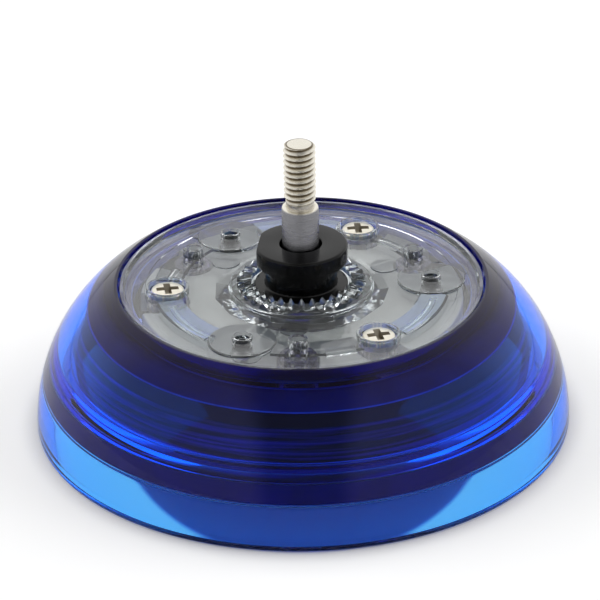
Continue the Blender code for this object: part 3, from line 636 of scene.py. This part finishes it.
def machined(name, roughness, stretch):
    """Metal with fine machining lines, before its colour."""
    material = new_material(name)
    shader(material).inputs["Metallic"].default_value = 1.0
    lines = noise(material, METAL_LINES, 5.0, stretch)
    vary_roughness(material, lines, *roughness)
    bump(material, lines, GRAIN_DEPTH)
    return material


def metal(name, dark, light, roughness, stretch=TURNED):
    """Machined metal with a little unevenness in its colour."""
    material = machined(name, roughness, stretch)
    tint(material, noise(material, METAL_CLOUDS, 4.0), dark, light)
    return material


def axle_steel():
    """Turned steel, pale on the crests of the thread and brown in its grooves."""
    material = machined("axle_turned_steel", (0.20, 0.38), TURNED)
    tree = material.node_tree
    start, end = AXLE_SPAN
    share = between(tree, distance_from_axis(tree, (1, 1, 0)), 0.0, 1.0, start, end, "LINEAR")
    stops = [((radius - start) / (end - start), colour) for radius, colour in AXLE_COLOURS]
    paint(material, colour_ramp(tree, share, stops))
    return material


# Pieces
def flank_points(radius, low, high, steps):
    """Points down an arc concentric with the outer flank, from one height to a lower one."""
    top = math.asin(high / radius)
    bottom = math.asin(low / radius)
    points = []
    for step in range(steps + 1):
        angle = top + (bottom - top) * step / steps
        points.append((BODY_RADIUS - FLANK_RADIUS + radius * math.cos(angle), radius * math.sin(angle)))
    return points


def flank_point(radius, height):
    return flank_points(radius, height, height, 1)[0]


def make_shell(clear, painted_shade, painted_glint, painted_shade_band):
    """The flared shell. Some hidden inner faces have opaque finishes in place of the light trapped there:
    painted shade under the seat and round the face cap's edge, and painted highlights along the seat's
    edges.
    """
    soft = SHELL_SOFT
    shoulder_bottom = CAP_TOP + FIT
    shoulder_top = shoulder_bottom + SHOULDER_RISE
    seat_underside = SEAT_HEIGHT - SEAT_THICKNESS
    skirt_top = RECESS_DEPTH - FIT
    flank = flank_points(FLANK_RADIUS, EDGE_ROUND, LIP_HEIGHT - soft, FLANK_STEPS)
    skirt = flank_points(FLANK_RADIUS - SKIRT_WALL, 0, skirt_top, INNER_STEPS)[::-1]
    inner = flank_points(FLANK_RADIUS - WALL, shoulder_top, seat_underside, INNER_STEPS)[::-1]
    shell = lathe("blue_shell", rounded([
        (*flank_point(FLANK_RADIUS, LIP_HEIGHT), soft),
        *flank[1:],
        (BODY_RADIUS, 0, EDGE_ROUND),
        (*skirt[0], soft),
        *skirt[1:-1],
        (*skirt[-1], soft),
        (CAP_BORE, skirt_top, soft),
        (CAP_BORE, shoulder_bottom, soft),
        (SHOULDER_BORE, shoulder_bottom, soft),
        (SHOULDER_BORE, shoulder_top, 2 * soft),
        (*inner[0], 2 * soft),
        *inner[1:-1],
        (*inner[-1], 2 * soft),
        (SEAT_BORE, seat_underside, soft),
        (SEAT_BORE, SEAT_HEIGHT, soft),
        (LIP_BORE, SEAT_HEIGHT, soft),
        (LIP_BORE, LIP_HEIGHT, soft),
    ]))
    dress(shell, "half_body", "shell_blue", (clear, painted_shade, painted_glint, painted_shade_band), "shell")
    painted_shade_index, painted_glint_index, painted_shade_band_index = 1, 2, 3
    seat_edges = [(SEAT_BORE, seat_underside), (SEAT_BORE, SEAT_HEIGHT), (LIP_BORE, SEAT_HEIGHT), inner[-1]]
    for face in shell.data.polygons:
        section = (off_axis(face), face.center.z)
        # painted shade: the bore round the face cap's edge takes the dark violet opaque finish
        if abs(section[0] - CAP_BORE) < 2 * soft and skirt_top + soft < section[1] < CAP_TOP:
            face.material_index = painted_shade_band_index
        # painted shade: the seat's flat underside takes the dark opaque finish
        if abs(section[1] - seat_underside) < SAME_POINT:
            face.material_index = painted_shade_index
        # painted highlights: the rounded edges of the seat take the bright blue opaque finish
        if min(math.dist(section, edge) for edge in seat_edges) < soft:
            face.material_index = painted_glint_index


def make_face_cap(material):
    dish = CAP_RADIUS - CAP_BORDER
    cap = lathe("outer_face", rounded([
        (0, CAP_TOP),
        (CAP_RADIUS, CAP_TOP, CAP_SOFT),
        (CAP_RADIUS, RECESS_DEPTH, CAP_SOFT),
        (dish, RECESS_DEPTH, CAP_SOFT),
        (dish - CAP_DISH, RECESS_DEPTH + CAP_DISH, CAP_SOFT),
        (0, RECESS_DEPTH + CAP_DISH),
    ]))
    root = CAP_TOP - EMBED
    tube_top = HUB_BOTTOM - FIT
    tube_radius = TUBE_BORE + TUBE_WALL
    raised = [lathe("tube", [
        (TUBE_BORE, tube_top), (tube_radius, tube_top), (tube_radius, root), (TUBE_BORE, root),
    ], MEDIUM)]
    for angle in fold_angles(SCREW_ANGLE):
        post = blind_post("post", POST_BORE, POST_FLOOR, POST_RADIUS, root, SEAT_HEIGHT)
        raised.append(place(post, SCREW_CIRCLE, angle))
    for angle in fold_angles(PEG_ANGLE):
        socket = blind_post("socket", SOCKET_BORE, SOCKET_FLOOR, SOCKET_RADIUS, root, SOCKET_TOP)
        raised.append(place(socket, PEG_CIRCLE, angle))
    combine(cap, raised, "UNION")
    dress(cap, "half_body", "cap_blue", (material,), "face_cap")


def tooth_shape(angle):
    """From 0 in a valley to 1 on a rounded ridge, with a ridge facing -Y."""
    place_in_tooth = (angle / (2 * math.pi) * TOOTH_COUNT) % 1.0
    away = min(abs(place_in_tooth - 0.5) * 2 / RIDGE_SHARE, 1.0)
    span = math.hypot(1, TOOTH_ROUND) - TOOTH_ROUND
    return 1 - (math.hypot(away, TOOTH_ROUND) - TOOTH_ROUND) / span


def tooth_height(top, depth):
    return lambda angle: top - depth * (1 - tooth_shape(angle))


def petals(radius):
    """The distance to the sides of a polygon, as a function of the angle."""
    sector = 2 * math.pi / FLARE_PETALS

    def distance(angle):
        return radius * math.cos(sector / 2) / math.cos(angle % sector - sector / 2)

    return distance


def with_petals(outline, corners):
    """An outline that is a polygon, and not round, at some of its corners."""
    points = []
    for radius, height in outline:
        faceted = any(math.dist((radius, height), corner) < SAME_POINT for corner in corners)
        points.append((petals(radius) if faceted else radius, height))
    return points


def plate_blank():
    """The clear plate with its toothed ring and rim."""
    soft = PLATE_SOFT
    rim_inner = PLATE_RADIUS - RIM_WIDTH
    tooth_end = RING_RADIUS - RING_SHOULDER
    teeth = [
        (SPOOL_WELL, tooth_height(RING_TOP, TOOTH_DEPTH)),
        (tooth_end, tooth_height(RING_TOP - TOOTH_FALL, TOOTH_OUTER_DEPTH)),
    ]
    flare = [(RING_RADIUS + FLARE_WIDTH, PLATE_UNDERSIDE), (RING_RADIUS, RIB_BOTTOM)]
    plain = rounded([
        (tooth_end, PLATE_FLOOR + RING_RISE),
        (RING_RADIUS, PLATE_FLOOR + RING_RISE, 2 * soft),
        (RING_RADIUS, PLATE_FLOOR, soft),
        (EDGE_INNER, PLATE_FLOOR),
        (EDGE_INNER + EDGE_RISE, PLATE_FLOOR + EDGE_RISE),
        (rim_inner - 2 * soft, PLATE_FLOOR + EDGE_RISE, 2 * soft),
        (rim_inner, RIM_TOP, soft),
        (PLATE_RADIUS, RIM_TOP, soft),
        (PLATE_RADIUS, PLATE_UNDERSIDE, soft),
        *flare,
        (RING_RADIUS, RING_BOTTOM, soft),
        (SPOOL_WELL, RING_BOTTOM),
    ])
    return lathe("clear_plate", teeth + with_petals(plain, flare), TOOTH_STEPS * TOOTH_COUNT)


def rib(start, end):
    """A curved rib under the plate, with sloping sides."""
    inner = SCREW_CIRCLE - RIB_WIDTH / 2
    outer = SCREW_CIRCLE + RIB_WIDTH / 2
    low = arc(inner + RIB_SLOPE, start, end, RIB_STEPS) + arc(outer - RIB_SLOPE, end, start, RIB_STEPS)
    high = arc(inner, start, end, RIB_STEPS) + arc(outer, end, start, RIB_STEPS)
    return loft("rib", [(low, RIB_BOTTOM), (high, PLATE_UNDERSIDE), (high, PLATE_UNDERSIDE + EMBED)])


def band(start, end):
    """A shallow step on the plate, from a screw towards a light port."""
    inner = BAND_INNER + BAND_SLOPE
    outer = BAND_OUTER - BAND_SLOPE
    low = arc(BAND_INNER, start, end, BAND_STEPS) + arc(BAND_OUTER, end, start, BAND_STEPS)
    high = arc(inner, start, end, BAND_STEPS) + arc(outer, end, start, BAND_STEPS)
    return loft("band", [(low, PLATE_FLOOR - EMBED), (low, PLATE_FLOOR), (high, PLATE_FLOOR + BAND_RISE)])


def plate_relief():
    """What stands on the plate and under it, and the cutters of its openings."""
    soft = PLATE_SOFT
    root = PLATE_FLOOR - EMBED
    past_top = LIP_HEIGHT + CUT_PAST
    hexagon = arc(POCKET_CORNER, 0, 300, 5)
    raised = []
    openings = [loft("pocket", [(hexagon, RING_BOTTOM - CUT_PAST), (hexagon, HUB_TOP + FIT)])]
    for angle in fold_angles(SCREW_ANGLE):
        boss = rod("boss", BOSS_RADIUS, root, PLATE_FLOOR + BOSS_RISE, MEDIUM, soft)
        raised.append(place(boss, SCREW_CIRCLE, angle))
        raised += [rib(angle + start, angle + end) for start, end in RIBS]
        raised += [band(angle + start, angle + end) for start, end in BANDS]
        counterbore = rod("counterbore", COUNTERBORE, SCREW_SEAT, past_top, MEDIUM)
        openings.append(place(counterbore, SCREW_CIRCLE, angle))
        hole = rod("hole", SCREW_HOLE, PLATE_UNDERSIDE - CUT_PAST, SCREW_SEAT + FIT)
        openings.append(place(hole, SCREW_CIRCLE, angle))
    for angle in fold_angles(PORT_ANGLE):
        pad = rod("pad", PAD_RADIUS, root, PLATE_FLOOR + PAD_RISE, MEDIUM, 2 * soft)
        raised.append(place(pad, PORT_CIRCLE, angle))
        collar = rod("collar", COLLAR_RADIUS, RIB_BOTTOM, PLATE_FLOOR + COLLAR_RISE, SMALL, soft)
        raised.append(place(collar, PORT_CIRCLE, angle))
        port = rod("port", PORT_RADIUS, RIB_BOTTOM - CUT_PAST, PLATE_FLOOR + soft)
        openings.append(place(port, PORT_CIRCLE, angle))
        mouth = rod("mouth", PORT_RADIUS + soft, PLATE_FLOOR, past_top)
        openings.append(place(mouth, PORT_CIRCLE, angle))
    for angle in fold_angles(PEG_ANGLE):
        peg = rod("peg", PEG_RADIUS, PEG_BOTTOM, PLATE_FLOOR + PEG_RISE, SMALL, soft)
        raised.append(place(peg, PEG_CIRCLE, angle))
        bore = rod("bore", PEG_BORE, PEG_BOTTOM - CUT_PAST, past_top)
        openings.append(place(bore, PEG_CIRCLE, angle))
    for circle, first in MARKS:
        for angle in fold_angles(first):
            mark = rod("mark", MARK_RADIUS, root, PLATE_FLOOR + MARK_RISE, SMALL, MARK_RISE / 2)
            raised.append(place(mark, circle, angle))
    return raised, openings


def refinish(plate, centre, radius, lowest, finish):
    """Gives the faces inside a circle and above a height another finish."""
    for face in plate.data.polygons:
        aside = face.center - centre
        if face.center.z > lowest and math.hypot(aside.x, aside.y) < radius:
            face.material_index = finish


def frost(plate, finish):
    """Gives the tops of the bands another finish."""
    for face in plate.data.polygons:
        if abs(face.center.z - PLATE_FLOOR - BAND_RISE) < SAME_POINT:
            face.material_index = finish


def make_inner_plate(*finishes):
    """The clear plate, with finishes in the order plain, polished, frosted and dark; the dark one is
    painted shade inside the light ports.
    """
    plate = plate_blank()
    raised, openings = plate_relief()
    combine(plate, raised, "UNION")
    combine(plate, openings, "DIFFERENCE")
    soften(plate, PLATE_SHARP)
    dress(plate, "half_body", "clear_plate", finishes, "inner_plate")
    polished, frosted, dark = 1, 2, 3
    frost(plate, frosted)
    refinish(plate, Vector((0, 0, 0)), RING_RADIUS + PLATE_SOFT, PLATE_FLOOR, polished)
    discs = [
        (PORT_CIRCLE, PORT_ANGLE, PAD_RADIUS, PLATE_FLOOR, polished),
        *((circle, first, MARK_RADIUS, PLATE_FLOOR, polished) for circle, first in MARKS),
        (PEG_CIRCLE, PEG_ANGLE, POLISH_RADIUS, RING_BOTTOM, polished),
        (PORT_CIRCLE, PORT_ANGLE, POLISH_RADIUS, RING_BOTTOM, polished),
        # painted shade: the bores of the light ports take the dark finish
        (PORT_CIRCLE, PORT_ANGLE, PORT_RADIUS + SAME_POINT, RING_BOTTOM, dark),
    ]
    for circle, first, radius, lowest, finish in discs:
        for angle in fold_angles(first):
            centre = Matrix.Rotation(math.radians(angle), 3, "Z") @ Vector((circle, 0, 0))
            refinish(plate, centre, radius, lowest, finish)


def notch(circle, angle, radius):
    """A cutter round a post that opens outwards through the module's edge."""
    reach = MODULE_RADIUS - circle + CUT_PAST
    outline = arc(radius, 90, 270, SMALL // 2) + [(reach, -radius), (reach, radius)]
    return place(loft("notch", [(outline, CAP_TOP - CUT_PAST), (outline, LIP_HEIGHT)]), circle, angle)


def module_notches():
    notches = [notch(SCREW_CIRCLE, angle, POST_RADIUS + FIT) for angle in fold_angles(SCREW_ANGLE)]
    return notches + [notch(PEG_CIRCLE, angle, SOCKET_RADIUS + FIT) for angle in fold_angles(PEG_ANGLE)]


def make_module_base(black, reflection_streaks):
    """The tray of the light module. Its edge beside the shell is dark navy with lighter streaks, painted
    reflections.
    """
    soft = BASE_SOFT
    wall_bore = MODULE_RADIUS - MODULE_WALL
    floor = BASE_BOTTOM + BASE_FLOOR
    inner_arc = FLANK_RADIUS - WALL
    flange_bottom = BASE_TOP - BASE_FLANGE
    flange_radius = flank_point(inner_arc, BASE_TOP)[0] - FIT
    edge_radius = SHOULDER_BORE - FIT
    edge_top = math.sqrt(inner_arc ** 2 - (SHOULDER_BORE - BODY_RADIUS + FLANK_RADIUS) ** 2)
    base = lathe("black_tray", rounded([
        (MODULE_BORE, floor, soft),
        (wall_bore, floor, 2 * soft),
        (wall_bore, BASE_TOP, soft),
        (flange_radius, BASE_TOP, 2 * soft),
        (edge_radius, edge_top, 2 * soft),
        (edge_radius, BASE_BOTTOM, 2 * soft),
        (edge_radius - BASE_FLANGE, BASE_BOTTOM, 2 * soft),
        (edge_radius - BASE_FLANGE, edge_top - BASE_FLANGE / 2, soft),
        (flange_radius - BASE_FLANGE / 2, flange_bottom, soft),
        (MODULE_RADIUS, flange_bottom, 2 * soft),
        (MODULE_RADIUS, BASE_BOTTOM, 2 * soft),
        (MODULE_BORE, BASE_BOTTOM, soft),
    ]))
    combine(base, module_notches(), "DIFFERENCE")
    dress(base, "half_body", "base_black", (black, reflection_streaks), "module_base")
    # painted reflections: the tray's edge beside the shell takes the streaked finish
    reflection_streaks_index = 1
    for face in base.data.polygons:
        if off_axis(face) > flange_radius:
            face.material_index = reflection_streaks_index


def make_module_cover(material):
    soft = COVER_SOFT
    wall_bore = MODULE_RADIUS - MODULE_WALL
    underside = COVER_TOP - COVER_THICKNESS
    cover = lathe("grey_cover", rounded([
        (MODULE_BORE, COVER_TOP, soft),
        (MODULE_RADIUS, COVER_TOP, 2 * soft),
        (MODULE_RADIUS, COVER_BOTTOM, soft),
        (wall_bore, COVER_BOTTOM, soft),
        (wall_bore, underside, 2 * soft),
        (MODULE_BORE, underside, soft),
    ]))
    cuts = module_notches()
    for angle in fold_angles(PORT_ANGLE):
        port = rod("port", LED_RADIUS, underside - CUT_PAST, COVER_TOP + CUT_PAST)
        cuts.append(place(port, PORT_CIRCLE, angle))
    combine(cover, cuts, "DIFFERENCE")
    dress(cover, "half_body", "cover_grey", (material,), "module_cover")


def cross_outline(length, width):
    a = length / 2
    b = width / 2
    return [
        (a, -b), (a, b), (b, b), (b, a), (-b, a), (-b, b),
        (-a, b), (-a, -b), (-b, -b), (-b, -a), (b, -a), (b, -b),
    ]


def make_screws(plated, painted_shade):
    """The cross-recess screws, with painted shade inside the recess: a darker finish there."""
    crown_radius, crown_drop = CROWN
    painted_shade_index = 1
    for number, angle in enumerate(fold_angles(SCREW_ANGLE), 1):
        node = f"plate_screw_{number}"
        low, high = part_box(node)
        top = high[2]
        seat = top - HEAD_HEIGHT
        screw = lathe(f"cross_screw_{number}", rounded([
            (0, top),
            (crown_radius * HEAD_RADIUS, top - crown_drop * DOME),
            (HEAD_RADIUS, top - DOME, HEAD_ROUND),
            (HEAD_RADIUS, seat),
            (SHANK_RADIUS, seat),
            (SHANK_RADIUS, low[2] + POINT_LENGTH),
            (0, low[2]),
        ]), SMALL)
        recess = loft("recess", [
            (cross_outline(*CROSS_FLOOR), top - CROSS_DEPTH),
            (cross_outline(*CROSS_TOP), top + CROSS_PAST),
        ])
        combine(screw, [recess], "DIFFERENCE")
        place(screw, SCREW_CIRCLE, angle)
        screw.rotation_euler.z = math.radians(SCREW_TURN * number)
        dress(screw, "half_body", "screw_nickel", (plated, painted_shade), node)
        for face in screw.data.polygons:
            # painted shade: the recess's inner faces take the darker finish
            if off_axis(face) < CROSS_REACH and seat + DOME < face.center.z < top - DOME:
                face.material_index = painted_shade_index


def thread_radius(height, angle):
    """A V thread with narrow flats, right-handed."""
    phase = (height / THREAD_PITCH - angle / (2 * math.pi)) % 1.0
    share = abs(phase - 0.5) * THREAD_FLANK - THREAD_FLAT
    return THREAD_CREST - THREAD_DEPTH * min(1.0, max(0.0, share))


def axle_ring(height, thread_start):
    """The axle's radius at a height on its thread, as a function of the angle."""
    started = min(1.0, (height - thread_start) / RUN_OUT)
    to_round = TIP_LENGTH - min(AXLE_TOP - height, TIP_LENGTH)
    taper = TIP_RADIUS + math.sqrt(max(0.0, TIP_ROUND ** 2 - to_round ** 2))

    def radius(angle):
        return min(NECK_RADIUS + (thread_radius(height, angle) - NECK_RADIUS) * started, taper)

    return radius


def make_axle(material):
    shoulder_top = SPOOL_TOP + SHOULDER_LENGTH
    thread_start = shoulder_top + NECK_LENGTH - RUN_OUT
    outline = [
        (0, AXLE_BOTTOM),
        (STUD_RADIUS - AXLE_CHAMFER, AXLE_BOTTOM),
        (STUD_RADIUS, AXLE_BOTTOM + AXLE_CHAMFER),
        (STUD_RADIUS, HUB_BOTTOM),
        (SHOULDER_RADIUS, HUB_BOTTOM),
        (SHOULDER_RADIUS, shoulder_top - AXLE_BEVEL),
        (SHOULDER_RADIUS - AXLE_BEND, shoulder_top - AXLE_BEND),
        (SHOULDER_RADIUS - AXLE_BEVEL, shoulder_top),
        (NECK_RADIUS + AXLE_BEND, shoulder_top),
        (NECK_RADIUS, shoulder_top + AXLE_BEND),
    ]
    for row in range(THREAD_ROWS + 1):
        height = thread_start + (AXLE_TOP - thread_start) * row / THREAD_ROWS
        outline.append((axle_ring(height, thread_start), height))
    outline.append((0, AXLE_TOP))
    axle = lathe("steel_axle", outline, AXLE_FACETS)
    dress(axle, "half_body", "axle_steel", (material,), "axle")


def make_spool(material):
    soft = SPOOL_SOFT
    lower_top = SPOOL_BOTTOM + LOWER_FLANGE
    upper_bottom = lower_top + STRING_GAP
    spool = lathe("string_spool", rounded([
        (SPOOL_BORE, SPOOL_TOP, BORE_SOFT),
        (SPOOL_RADIUS, SPOOL_TOP, soft),
        (SPOOL_RADIUS, upper_bottom, soft / 2),
        (SPOOL_NECK, upper_bottom, soft),
        (SPOOL_NECK, lower_top, soft),
        (SPOOL_RADIUS, lower_top, soft / 2),
        (SPOOL_RADIUS, SPOOL_BOTTOM, soft / 2),
        (SPOOL_BORE, SPOOL_BOTTOM, BORE_SOFT),
    ]), SPOOL_FACETS)
    far = 3 * SPOOL_RADIUS
    near = SPOOL_RADIUS - FLAT_DEPTH
    side = 2 * SPOOL_RADIUS
    flat = [(near, -side), (far, -side), (far, side), (near, side)]
    cutter = loft("flat", [(flat, upper_bottom - FLAT_START), (flat, SPOOL_TOP + CUT_PAST)])
    combine(spool, [place(cutter, 0, FLAT_ANGLE)], "DIFFERENCE")
    dress(spool, "string_spool", "spool_black", (material,), "spool")


def make_blue_pieces():
    make_shell(
        with_painted_lip_shade(see_through(
            "shell_blue_plastic", (0.02, 0.69, 0.97), 1050.0, BLUE_IOR, (0.01, 0.03), gloss=BLUE_GLOSS,
        )),
        # painted shade under the seat
        moulded(
            "shell_blue_painted_shade", (0.015, 0.03, 0.16), (0.022, 0.042, 0.22), (0.4, 0.5), shine=DULL_SHINE,
        ),
        # painted highlights along the seat's edges
        moulded("shell_blue_painted_glint", (0.03, 0.09, 0.50), (0.05, 0.15, 0.72), (0.3, 0.4), shine=0.3),
        # painted shade round the face cap's edge
        moulded(
            "shell_blue_painted_shade_band", (0.010, 0.005, 0.10), (0.016, 0.008, 0.16), (0.35, 0.5), shine=DULL_SHINE,
        ),
    )
    make_face_cap(clouded(see_through(
        "face_blue_plastic", (0.02, 0.30, 0.85), 900.0, BLUE_IOR, (0.02, 0.05), gloss=BLUE_GLOSS,
    )))


def make_clear_plate():
    clear = see_through("clear_plastic", CLEAR_DEPTH, CLEAR_DENSITY, CLEAR_IOR, (0.01, 0.05), 0.05)
    polished = see_through(
        "clear_plastic_polished", CLEAR_DEPTH, CLEAR_DENSITY, CLEAR_IOR, (0.005, 0.03), 0.03,
    )
    frosted = see_through(
        "clear_plastic_frosted", FROST_DEPTH, CLEAR_DENSITY, CLEAR_IOR, (0.03, 0.08), 0.24,
    )
    # painted shade inside the light ports
    dark = moulded("port_painted_shade", (0.05, 0.055, 0.055), (0.09, 0.095, 0.095), (0.2, 0.35))
    make_inner_plate(clouded(clear), clouded(polished), clouded(frosted, FROST_CAST), dark)


def make_pieces():
    make_blue_pieces()
    make_clear_plate()
    make_screws(
        metal("screw_nickel_plate", (0.84, 0.79, 0.66), (0.96, 0.92, 0.80), (0.26, 0.40), EVEN),
        # painted shade inside the cross recess
        metal("screw_recess_painted_shade", (0.26, 0.23, 0.18), (0.42, 0.38, 0.30), (0.30, 0.45), EVEN),
    )
    make_axle(axle_steel())
    make_module_base(
        moulded(
            "tray_black_plastic", (0.002, 0.002, 0.0025), (0.005, 0.005, 0.006), (0.35, 0.5),
            shine=DULL_SHINE,
        ),
        # painted reflection streaks on the tray's edge beside the shell
        reflection_streaked("tray_painted_reflections", (0.002, 0.001, 0.012), (0.06, 0.03, 0.42), (0.35, 0.5)),
    )
    make_module_cover(moulded("cover_grey_plastic", (0.50, 0.53, 0.52), (0.60, 0.63, 0.62), (0.35, 0.55)))
    make_spool(moulded(
        "spool_black_plastic", (0.001, 0.001, 0.001), (0.002, 0.002, 0.002), (0.10, 0.20),
        FINE_GRAIN_DEPTH, 0.25,
    ))


# Finishes of the nodes that are shown as they are
def finish_nodes():
    steel = metal("plain_steel", (0.50, 0.50, 0.52), (0.66, 0.66, 0.68), (0.28, 0.45))
    brass = metal("plain_brass", (0.66, 0.48, 0.20), (0.80, 0.62, 0.30), (0.25, 0.42))
    black = moulded("inner_black_plastic", (0.003, 0.003, 0.004), (0.008, 0.008, 0.009), (0.35, 0.5))
    board = moulded("board_green_mask", (0.02, 0.14, 0.06), (0.04, 0.22, 0.10), (0.3, 0.5))
    white = moulded("guide_white_plastic", (0.70, 0.70, 0.68), (0.80, 0.80, 0.78), (0.4, 0.55))
    lens = clouded(see_through("led_lens", (0.45, 0.50, 0.65), 900.0, 1.54, (0.02, 0.06)))
    finishes = {
        "axle_hub": black, "circuit_board": board,
        "axle_washer": steel, "axle_nut": steel, "driver_chip": black, "resistor": black,
        "switch_guide": white, "switch_weight": brass, "switch_contact": brass,
    }
    for number in range(1, FOLDS + 1):
        finishes[f"battery_{number}"] = steel
        finishes[f"battery_clip_{number}"] = steel
        finishes[f"led_{number}"] = lens
    for node, material in finishes.items():
        for material_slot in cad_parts[node].material_slots:
            material_slot.material = material


# Studio
def make_floor():
    """A pale floor that keeps the shadow, with a level each for the camera, gloss and clear plastic. The
    added level fades out near the body, a painted contact shadow, and clear plastic sees painted light: a
    glow under the rim and blue under the middle.
    """
    bm = bmesh.new()
    bmesh.ops.create_grid(bm, x_segments=1, y_segments=1, size=FLOOR_SIZE)
    floor = add_piece("studio_floor", bm)
    floor.location.z = -FLOOR_DROP
    material = new_material("floor_white")
    tree = material.node_tree
    paper = shader(material)
    paper.inputs["Base Color"].default_value = (*FLOOR_PAPER, 1)
    paper.inputs["Roughness"].default_value = 0.9
    paper.inputs["Specular IOR Level"].default_value = 0.1
    path = tree.nodes.new("ShaderNodeLightPath")
    away = distance_from_axis(tree, (1, 1, 0))
    glow_place = distance_from_axis(tree, GLOW_SCALE)
    # painted contact shadow: the lift that the camera and gloss see fades out near the body
    beside = (BODY_RADIUS - SKIRT_WALL, BODY_RADIUS + LIFT_FADE)
    under_rim = (CAP_RADIUS, CAP_RADIUS + GLOW_FADE)
    levels = {
        "Is Camera Ray": between(tree, away, 0.0, FLOOR_LIFT, *beside),
        "Is Glossy Ray": between(tree, away, 0.0, FLOOR_GLOSS, *beside),
        # painted light that clear plastic sees: a glow under the rim and blue light under the middle
        "Is Transmission Ray": between(tree, glow_place, FLOOR_SHADE, FLOOR_GLOW, *under_rim),
    }
    lift = largest(tree, [between(tree, path.outputs[ray], 0.0, level) for ray, level in levels.items()])
    outwards = between(tree, glow_place, 0.0, 1.0, *under_rim)
    colour = colour_ramp(tree, outwards, [(0.0, SHADE_BLUE), (1.0, PLAIN)])
    tree.links.new(colour, paper.inputs["Emission Color"])
    tree.links.new(lift, paper.inputs["Emission Strength"])
    floor.data.materials.append(material)


def make_world():
    """White for the camera. Clear plastic shows a dark front, and gloss shows pale sides too."""
    world = bpy.data.worlds.new("studio")
    bpy.context.scene.world = world
    world.use_nodes = True
    tree = world.node_tree
    path = tree.nodes.new("ShaderNodeLightPath")
    direction = tree.nodes.new("ShaderNodeTexCoord")
    axes = tree.nodes.new("ShaderNodeSeparateXYZ")
    tree.links.new(direction.outputs["Generated"], axes.inputs["Vector"])
    room = between(tree, axes.outputs["Y"], ROOM_FRONT, 1.0, FRONT_EDGE, BACK_EDGE)
    ambient = between(tree, axes.outputs["Y"], AMBIENT_FRONT, AMBIENT_BACK, FRONT_EDGE, BACK_EDGE)
    aside = tree.nodes.new("ShaderNodeMath")
    aside.operation = "ABSOLUTE"
    tree.links.new(axes.outputs["X"], aside.inputs[0])
    mirrored = largest(tree, [room, between(tree, aside.outputs[0], GLOSS_FRONT, GLOSS_SIDES, *SIDE_EDGE)])
    indirect = between(tree, path.outputs["Is Transmission Ray"], ambient, room)
    indirect = between(tree, path.outputs["Is Glossy Ray"], indirect, mirrored)
    level = between(tree, path.outputs["Is Camera Ray"], indirect, 1.0)
    background = tree.nodes["Background"]
    background.inputs["Color"].default_value = (1, 1, 1, 1)
    tree.links.new(level, background.inputs["Strength"])


def aimed(location, target):
    forward = Vector(target) - Vector(location)
    turn = forward.to_track_quat("-Z", "Y").to_matrix().to_4x4()
    return Matrix.Translation(location) @ turn


def softbox(name, location, width, height, power):
    lamp = bpy.data.lights.new(name, "AREA")
    lamp.shape = "RECTANGLE"
    lamp.size = width
    lamp.size_y = height
    lamp.energy = power
    holder = bpy.data.objects.new(name, lamp)
    holder.matrix_world = aimed(location, LAMP_AIM)
    holder.visible_glossy = False
    bpy.context.scene.collection.objects.link(holder)


def make_camera():
    back = Vector((0, -math.cos(CAMERA_ELEVATION), math.sin(CAMERA_ELEVATION)))
    data = bpy.data.cameras.new("camera")
    data.lens = CAMERA_LENS
    data.sensor_width = SENSOR_WIDTH
    data.clip_start = CLIP_START
    camera = bpy.data.objects.new("camera", data)
    camera.matrix_world = aimed(back * CAMERA_DISTANCE, CAMERA_AIM) @ Matrix.Rotation(CAMERA_ROLL, 4, "Z")
    bpy.context.scene.collection.objects.link(camera)
    bpy.context.scene.camera = camera


make_pieces()
finish_nodes()
make_floor()
make_world()
for box in SOFTBOXES:
    softbox(*box)
make_camera()
bpy.context.scene.view_settings.view_transform = "Standard"
